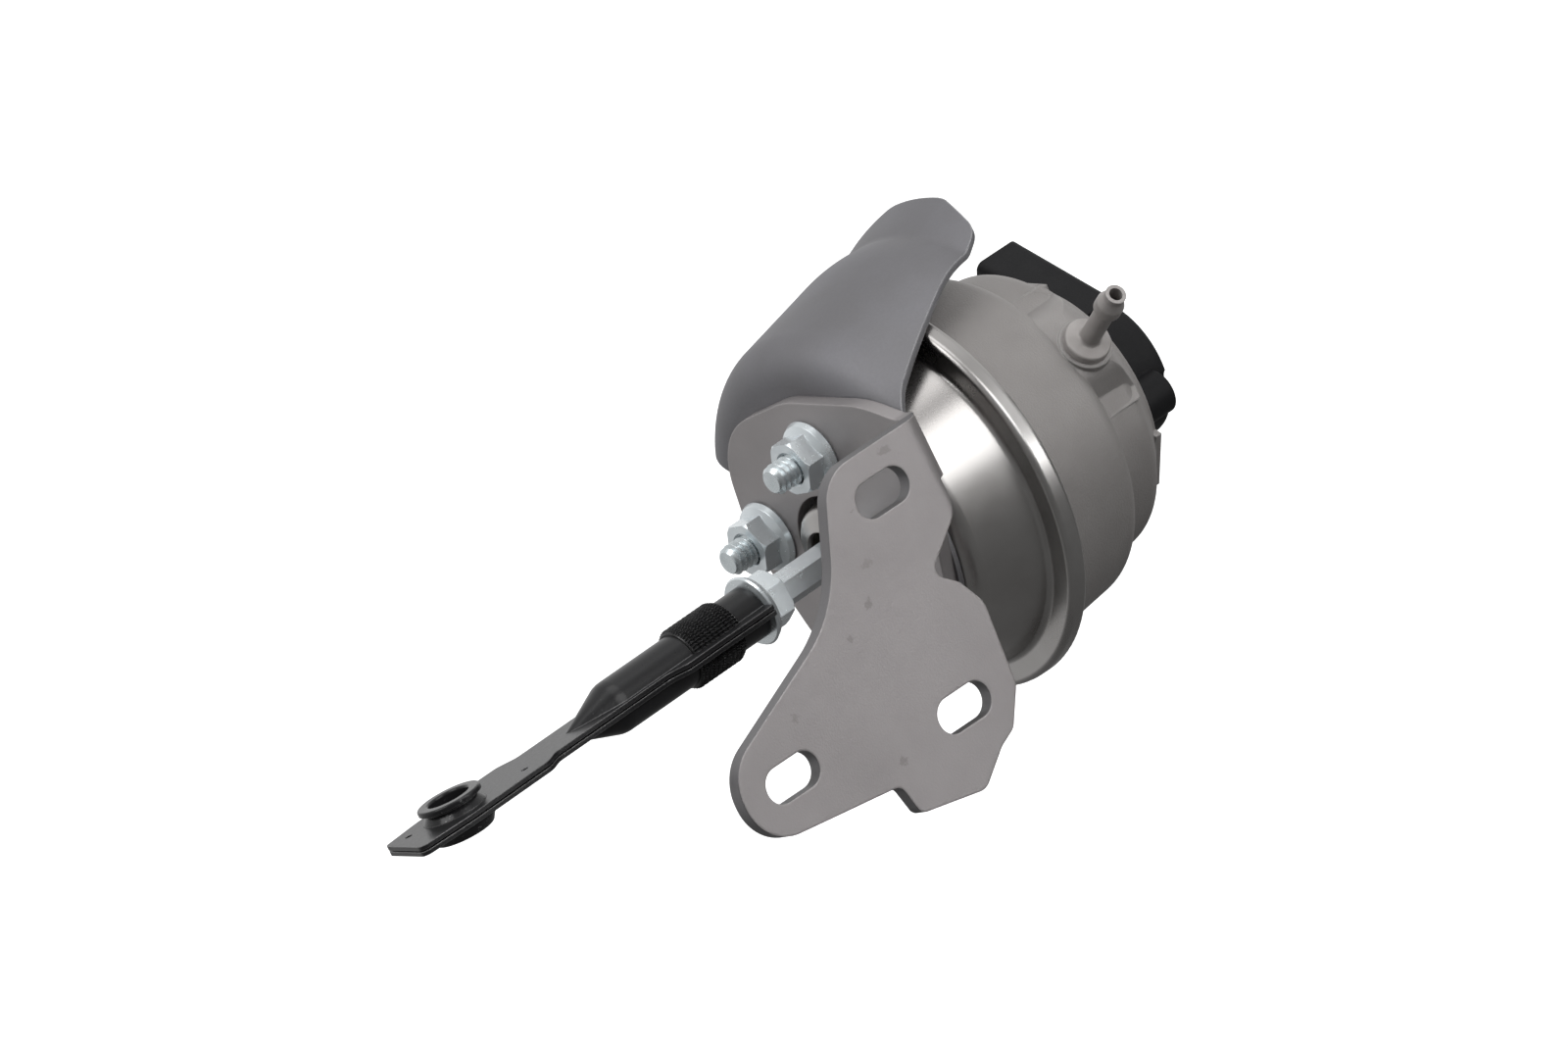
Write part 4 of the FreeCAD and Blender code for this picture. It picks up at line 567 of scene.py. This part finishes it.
crest, rows, columns = ridges_in["Crest"], ridges_in["Rows"], ridges_in["Columns"]
sheet = add_node(ridges, "GeometryNodeMeshGrid", {"Vertices X": rows, "Vertices Y": columns})
index = add_node(ridges, "GeometryNodeInputIndex").outputs[0]
row = work_out("FLOOR", work_out("DIVIDE", work_out("ADD", index, 0.5), columns))
column = work_out("SUBTRACT", index, work_out("MULTIPLY", row, columns))
turn = work_out("DIVIDE", column, work_out("SUBTRACT", columns, 1.0))
last_row = work_out("SUBTRACT", rows, 1.0)
along = work_out("DIVIDE", work_out("SUBTRACT", row, 1.0), work_out("SUBTRACT", rows, 4.0))
along = add_node(ridges, "ShaderNodeClamp", {"Value": along, "Min": 0.0, "Max": 1.0}).outputs[0]
before_last = work_out("LESS_THAN", row, work_out("SUBTRACT", last_row, 0.5))
reach = work_out("MULTIPLY", work_out("MULTIPLY", along, before_last), ridges_in["Length"])
phase = work_out(
    "SUBTRACT", work_out("MULTIPLY", reach, ridges_in["Turns per Metre"]),
    work_out("MULTIPLY", ridges_in["Ridges"], turn),
)
flank = work_out("ABSOLUTE", work_out("SUBTRACT", work_out("FRACT", phase), 0.5))
valley = remap(ridges, flank, 0.0, 1.0, CREST_EDGE, ROOT_EDGE)
body = work_out("SUBTRACT", crest, work_out("MULTIPLY", valley, ridges_in["Depth"]))
ring_phase = work_out("FRACT", work_out("MULTIPLY", reach, ridges_in["Rings per Metre"]))
ring_side = work_out("ABSOLUTE", work_out("SUBTRACT", ring_phase, 0.5))
groove = remap(ridges, ring_side, 0.0, 1.0, BAND_EDGE, GROOVE_EDGE)
body = work_out("SUBTRACT", body, work_out("MULTIPLY", groove, ridges_in["Ring Depth"]))
from_start = work_out("SUBTRACT", reach, ridges_in["Neck Start"])
neck_end = work_out("SUBTRACT", ridges_in["Length"], ridges_in["Neck End"])
inside = work_out("MINIMUM", from_start, work_out("SUBTRACT", neck_end, reach))
chamfer = work_out("MAXIMUM", work_out("SUBTRACT", ridges_in["Chamfer"], inside), 0.0)
body = work_out("MINIMUM", body, work_out("SUBTRACT", crest, chamfer))
in_neck = work_out("LESS_THAN", inside, 0.0)
to_neck = work_out("SUBTRACT", ridges_in["Neck Radius"], body)
body = work_out("MULTIPLY_ADD", to_neck, in_neck, body)
in_bore = work_out(
    "MAXIMUM", work_out("LESS_THAN", row, 0.5),
    work_out("GREATER_THAN", row, work_out("SUBTRACT", last_row, 1.5)),
)
radius = work_out("MULTIPLY_ADD", work_out("SUBTRACT", ridges_in["Bore"], body), in_bore, body)
angle = work_out("MULTIPLY", turn, 2.0 * math.pi)
point = add_node(
    ridges, "ShaderNodeCombineXYZ",
    {"X": reach, "Y": work_out("MULTIPLY", radius, work_out("COSINE", angle)),
     "Z": work_out("MULTIPLY", radius, work_out("SINE", angle))},
)
bar = add_node(
    ridges, "GeometryNodeSetPosition",
    {"Geometry": sheet.outputs["Mesh"], "Position": point.outputs["Vector"]},
)
bar = add_node(
    ridges, "GeometryNodeMergeByDistance", {"Geometry": bar.outputs[0], "Distance": WELD_DISTANCE}
)
bar = add_node(ridges, "GeometryNodeRealizeInstances", {"Geometry": bar.outputs[0]})
bar = add_node(
    ridges, "GeometryNodeSetMaterial",
    {"Geometry": bar.outputs[0], "Material": ridges_in["Material"]},
)
feed(ridges, ridges_out["Geometry"], bar.outputs[0])


def build_shape(name, group, settings, placed=Matrix()):
    """Run a geometry group with its named inputs and keep the result as a plain, clean mesh."""
    made = bpy.data.objects.new(name, bpy.data.meshes.new(name + "_seed"))
    bpy.context.scene.collection.objects.link(made)
    modifier = made.modifiers.new("shape", "NODES")
    modifier.node_group = group
    for socket in group.interface.items_tree:
        if socket.item_type == "SOCKET" and socket.in_out == "INPUT":
            modifier[socket.identifier] = settings[socket.name]
    seen = made.evaluated_get(bpy.context.evaluated_depsgraph_get())
    shape = bpy.data.meshes.new_from_object(seen)
    made.modifiers.remove(modifier)
    made.data = shape
    finish_mesh(shape, placed)
    return made


cut_zinc = metal_finish(
    "zinc on threads", colour=(0.74, 0.79, 0.81, 1.0), shade=(0.60, 0.65, 0.67, 1.0),
    roughness=0.26, grains=1200.0, clouds=160.0, bump=0.004, edge=0.00003, metallic=0.8,
)
STUD_THREAD = {
    "Crest": 0.00298, "Depth": 0.00068, "Turns per Metre": 740.0, "Ridges": 1.0,
    "Rings per Metre": 0.0, "Ring Depth": 0.0, "Chamfer": 0.0008, "Bore": 0.0,
    "Neck Start": 0.0008, "Neck End": 0.0, "Neck Radius": 0.0032, "Rows": 184, "Columns": 49,
    "Material": cut_zinc,
}
for stud_name in ("stud_upper", "stud_lower"):
    low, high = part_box(stud_name)
    middle = (low + high) / 2
    stud = build_shape(
        stud_name + "_thread", ridges, {**STUD_THREAD, "Length": high.x - low.x},
        Matrix.Translation((high.x, middle.y, middle.z)) @ Matrix.Rotation(math.pi, 4, "Z"),
    )
    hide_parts(stud_name)
    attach(stud, "canister")


# Piston group. The deep-drawn cup carries the diaphragm, held by a clamp plate. Its moulded socket
# holds the rod's ball, and the carrier behind it holds the ring magnet that the sensor reads.
MOULD_CLOUDS = 120.0
MOULD_TEXTURE = 0.06  # height of the mould's eroded texture in millimetres
MOULD_UNEVEN = 0.2
dress(bright_steel, "piston_cup", "clamp_plate", "spring_seat")


def moulded_finish(name, colour, shade, roughness, grains=3000.0, edge=0.0004, specular=0.5):
    """A moulded plastic or rubber: eroded fine texture and slightly uneven gloss."""
    made, tree, shader = new_finish(name, {"Metallic": 0.0, "Specular IOR Level": specular})
    texture, soft = lay_skin(tree, place_on_piece(tree), grains, MOULD_CLOUDS, edge)
    tone = remap(tree, texture["Cloud"], 0.0, 1.0, *CLOUD_LEVELS)
    feed(tree, shader.inputs["Base Color"], mix_colour(tree, tone, shade, colour))
    uneven = calculate(
        tree, "MULTIPLY_ADD", texture["Grain"], MOULD_UNEVEN, roughness - MOULD_UNEVEN / 2
    )
    feed(tree, shader.inputs["Roughness"], uneven)
    raise_skin(tree, shader, texture["Height"], soft["Normal"], MOULD_TEXTURE * MM)
    return made


natural_plastic = moulded_finish(
    "natural moulded plastic", colour=(0.55, 0.52, 0.45, 1.0), shade=(0.50, 0.47, 0.40, 1.0),
    roughness=0.45,
)
dress(natural_plastic, "ball_socket", "magnet_carrier")
bonded_magnet = moulded_finish(
    "bonded magnet", colour=(0.05, 0.05, 0.055, 1.0), shade=(0.035, 0.035, 0.04, 1.0),
    roughness=0.5, grains=5000.0,
)
dress(bonded_magnet, "magnet")


# Diaphragm. Rubber on fabric, its bead held in the rolled rim. It rolls over the piston cup as the
# piston moves.
FILLET_STEPS = 6
DIAPHRAGM_COLUMNS = 128
FRONT_FACE = (
    (-16.3, 8.1), (-16.3, 25.4, 3.0), (5.0, 25.4, 3.49), (5.0, 32.4, 3.49), (-1.5, 32.4, 0.3),
    (-1.5, 38.9),
)
BACK_FACE = (
    (-2.2, 38.9), (-2.2, 31.7, 1.0), (4.3, 31.7, 2.79), (4.3, 26.1, 2.79), (-17.0, 26.1, 3.7),
    (-17.0, 8.1),
)
diaphragm_rubber = moulded_finish(
    "diaphragm rubber", colour=(0.022, 0.022, 0.023, 1.0), shade=(0.015, 0.015, 0.016, 1.0),
    roughness=0.6, grains=6000.0,
)
dress(diaphragm_rubber, "sensor_seal")


def round_path(path):
    """Turn corners into points. A corner is its place from the rim's plane, its radius and, where
    it is rounded, its fillet, in millimetres."""
    points = []
    for number, corner in enumerate(path):
        here = Vector(corner[:2])
        if len(corner) == 2:
            points.append(here)
            continue
        before = (Vector(path[number - 1][:2]) - here).normalized()
        after = (Vector(path[number + 1][:2]) - here).normalized()
        for step in range(FILLET_STEPS + 1):
            swing = step / FILLET_STEPS * math.pi / 2
            points.append(
                here + before * corner[2] * (1 - math.sin(swing))
                + after * corner[2] * (1 - math.cos(swing))
            )
    return points


def turn_about_axis(name, outline, count, material):
    """Turn a closed outline of (x, radius) points in metres about the canister's axis."""
    work = bmesh.new()
    sections = []
    for number in range(count):
        turn_angle = 2 * math.pi * number / count
        across = Vector((0.0, math.cos(turn_angle), math.sin(turn_angle)))
        sections.append(
            [work.verts.new(Vector((p.x, AXIS_Y, 0.0)) + across * p.y) for p in outline]
        )
    for number, section in enumerate(sections):
        beside = sections[(number + 1) % count]
        for step in range(len(outline)):
            following = (step + 1) % len(outline)
            work.faces.new((section[step], section[following], beside[following], beside[step]))
    mesh = bpy.data.meshes.new(name)
    work.to_mesh(mesh)
    work.free()
    finish_mesh(mesh)
    smooth_faces(mesh)
    mesh.materials.append(material)
    made = bpy.data.objects.new(name, mesh)
    bpy.context.scene.collection.objects.link(made)
    return made


outline = [
    Vector((p.x * MM + RIM_X, p.y * MM)) for p in round_path(FRONT_FACE) + round_path(BACK_FACE)
]
rolling_rubber = turn_about_axis("rolling_rubber", outline, DIAPHRAGM_COLUMNS, diaphragm_rubber)
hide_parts("diaphragm")
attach(rolling_rubber, "canister")
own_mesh(rolling_rubber)


# Return spring. Oiled round wire, wound to a coil between the piston cup and its seat in the
# housing. It pushes the rod out.
WIRE_RADIUS = 0.0016
COIL_RADIUS = 0.017
COIL_TURNS = 5.5
spring_wire = metal_finish(
    "oiled spring wire", colour=(0.16, 0.16, 0.17, 1.0), shade=(0.10, 0.10, 0.11, 1.0),
    roughness=0.3, grains=3000.0,
)
spring, spring_in, spring_out = new_group(
    "wound spring",
    {"Turns": "NodeSocketFloat", "Radius": "NodeSocketFloat", "Height": "NodeSocketFloat",
     "Wire Radius": "NodeSocketFloat", "Material": "NodeSocketMaterial"},
    {"Geometry": "NodeSocketGeometry"},
    kind="GeometryNodeTree",
)
line = add_node(
    spring, "GeometryNodeCurveSpiral",
    {"Resolution": 48, "Rotations": spring_in["Turns"], "Start Radius": spring_in["Radius"],
     "End Radius": spring_in["Radius"], "Height": spring_in["Height"]},
)
wire = add_node(
    spring, "GeometryNodeCurvePrimitiveCircle",
    {"Resolution": 16, "Radius": spring_in["Wire Radius"]},
)
wound = add_node(
    spring, "GeometryNodeCurveToMesh",
    {"Curve": line.outputs[0], "Profile Curve": wire.outputs[0], "Fill Caps": True},
)
wound = add_node(spring, "GeometryNodeRealizeInstances", {"Geometry": wound.outputs[0]})
wound = add_node(
    spring, "GeometryNodeSetMaterial",
    {"Geometry": wound.outputs[0], "Material": spring_in["Material"]},
)
feed(spring, spring_out["Geometry"], wound.outputs[0])
low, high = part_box("coil_spring")
wound_spring = build_shape(
    "wound_spring", spring,
    {"Turns": COIL_TURNS, "Radius": COIL_RADIUS, "Height": high.x - low.x - 2 * WIRE_RADIUS,
     "Wire Radius": WIRE_RADIUS, "Material": spring_wire},
    Matrix.Translation((low.x + WIRE_RADIUS, AXIS_Y, 0.0)) @ Matrix.Rotation(math.pi / 2, 4, "Y"),
)
smooth_faces(wound_spring.data)
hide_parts("coil_spring")
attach(wound_spring, "canister")
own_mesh(wound_spring)


# Position sensor. Black glass-filled plastic, moulded in one with its plug housing and two screw
# ears. The finger with the board reaches into the canister; a cover closes the back.
sensor_plastic = moulded_finish(
    "black moulded plastic", colour=(0.011, 0.011, 0.012, 1.0), shade=(0.008, 0.008, 0.009, 1.0),
    roughness=0.55, grains=2500.0, edge=0.0006, specular=0.18,
)
dress(sensor_plastic, "sensor_body", "sensor_cover")
dress(zinc, "sensor_screws")
board_green = moulded_finish(
    "board", colour=(0.02, 0.12, 0.05, 1.0), shade=(0.015, 0.09, 0.04, 1.0), roughness=0.35
)
dress(board_green, "circuit_board")
terminal_plating = metal_finish(
    "plated terminals", colour=(0.72, 0.60, 0.36, 1.0), shade=(0.62, 0.50, 0.30, 1.0),
    roughness=0.3, grains=3000.0,
)
dress(terminal_plating, "connector_terminals")


# Rod and lock nut. A hexagonal zinc-plated rod with a ball at one end and a thread at the other.
# The lock nut holds the link where it was set.
dress(zinc, "rod", "rod_lock_nut")


# Link. Two halves pressed from thin sheet clasp the threaded insert and the eye's bush, and the
# whole link is coated glossy black. Handling rubs its edges and its taper bare.
BLACK_COAT = (0.015, 0.015, 0.016, 1.0)
BARE_LINK = (0.42, 0.42, 0.42, 1.0)
COAT_GRAINS, COAT_CLOUDS = 1600.0, 130.0
RUB_START, RUB_END = 0.72, 0.80  # levels of the grain at which an unworn coat is rubbed through
RUB_CLOUDS = (0.5, 0.7)
EDGE_WEAR = 0.6
COAT_UNEVEN, COAT_POLISH = 0.15, 0.07
COAT_BUMP, COAT_BUMP_STRENGTH = 0.00003, 0.4
BALL_CENTRE = Vector((0.026, AXIS_Y, 0.0))
ROD_TILT = math.radians(0.95)
INSERT_START = 0.03695  # from the ball's centre along the rod


def coated_finish(name, worn_share, roughness, edge=0.0003):
    """Black coating over steel that is rubbed bare on edges and in a few spots."""
    made, tree, shader = new_finish(
        name, {"Coat Weight": 0.08, "Coat Roughness": 0.12, "Specular IOR Level": 0.28}
    )
    texture, soft = lay_skin(tree, place_on_piece(tree), COAT_GRAINS, COAT_CLOUDS, edge)
    rubbed = remap(
        tree, texture["Grain"], 0.0, 1.0, RUB_START - worn_share, RUB_END - worn_share
    )
    in_cloud = remap(tree, texture["Cloud"], 0.0, 1.0, *RUB_CLOUDS)
    rubbed = calculate(tree, "MULTIPLY", rubbed, in_cloud)
    edge_wear = calculate(tree, "MULTIPLY", soft["Mask"], EDGE_WEAR)
    bare = calculate(tree, "MAXIMUM", edge_wear, rubbed)
    feed(tree, shader.inputs["Base Color"], mix_colour(tree, bare, BLACK_COAT, BARE_LINK))
    feed(tree, shader.inputs["Metallic"], bare)
    uneven = calculate(
        tree, "MULTIPLY_ADD", texture["Grain"], COAT_UNEVEN, roughness - COAT_POLISH
    )
    feed(tree, shader.inputs["Roughness"], uneven)
    raise_skin(
        tree, shader, texture["Height"], soft["Normal"], COAT_BUMP, strength=COAT_BUMP_STRENGTH
    )
    return made


black_coat = coated_finish("black coated link", worn_share=0.02, roughness=0.30)
knurl_coat = coated_finish("black coated knurl", worn_share=0.08, roughness=0.30, edge=0.00004)
bush_coat = coated_finish("rubbed bush", worn_share=0.12, roughness=0.22)
dress(black_coat, "link_upper_half", "link_lower_half")
dress(bush_coat, "eye_bush")

# The insert between the halves is a knurled barrel with a neck at each end, bored for the thread.
knurled = build_shape(
    "knurled_insert", ridges,
    {"Length": 0.02455, "Crest": 0.0063, "Depth": 0.00045, "Turns per Metre": 0.0, "Ridges": 56.0,
     "Rings per Metre": 833.0, "Ring Depth": 0.0004, "Chamfer": 0.0007, "Bore": 0.003,
     "Neck Start": 0.0066, "Neck End": 0.00605, "Neck Radius": 0.0044, "Rows": 150,
     "Columns": 337, "Material": knurl_coat},
    Matrix.Translation(BALL_CENTRE) @ Matrix.Rotation(ROD_TILT, 4, Vector((0, -1, 0)))
    @ Matrix.Translation((-INSERT_START, 0, 0)) @ Matrix.Rotation(math.pi, 4, "Z"),
)
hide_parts("threaded_insert")
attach(knurled, "rod")
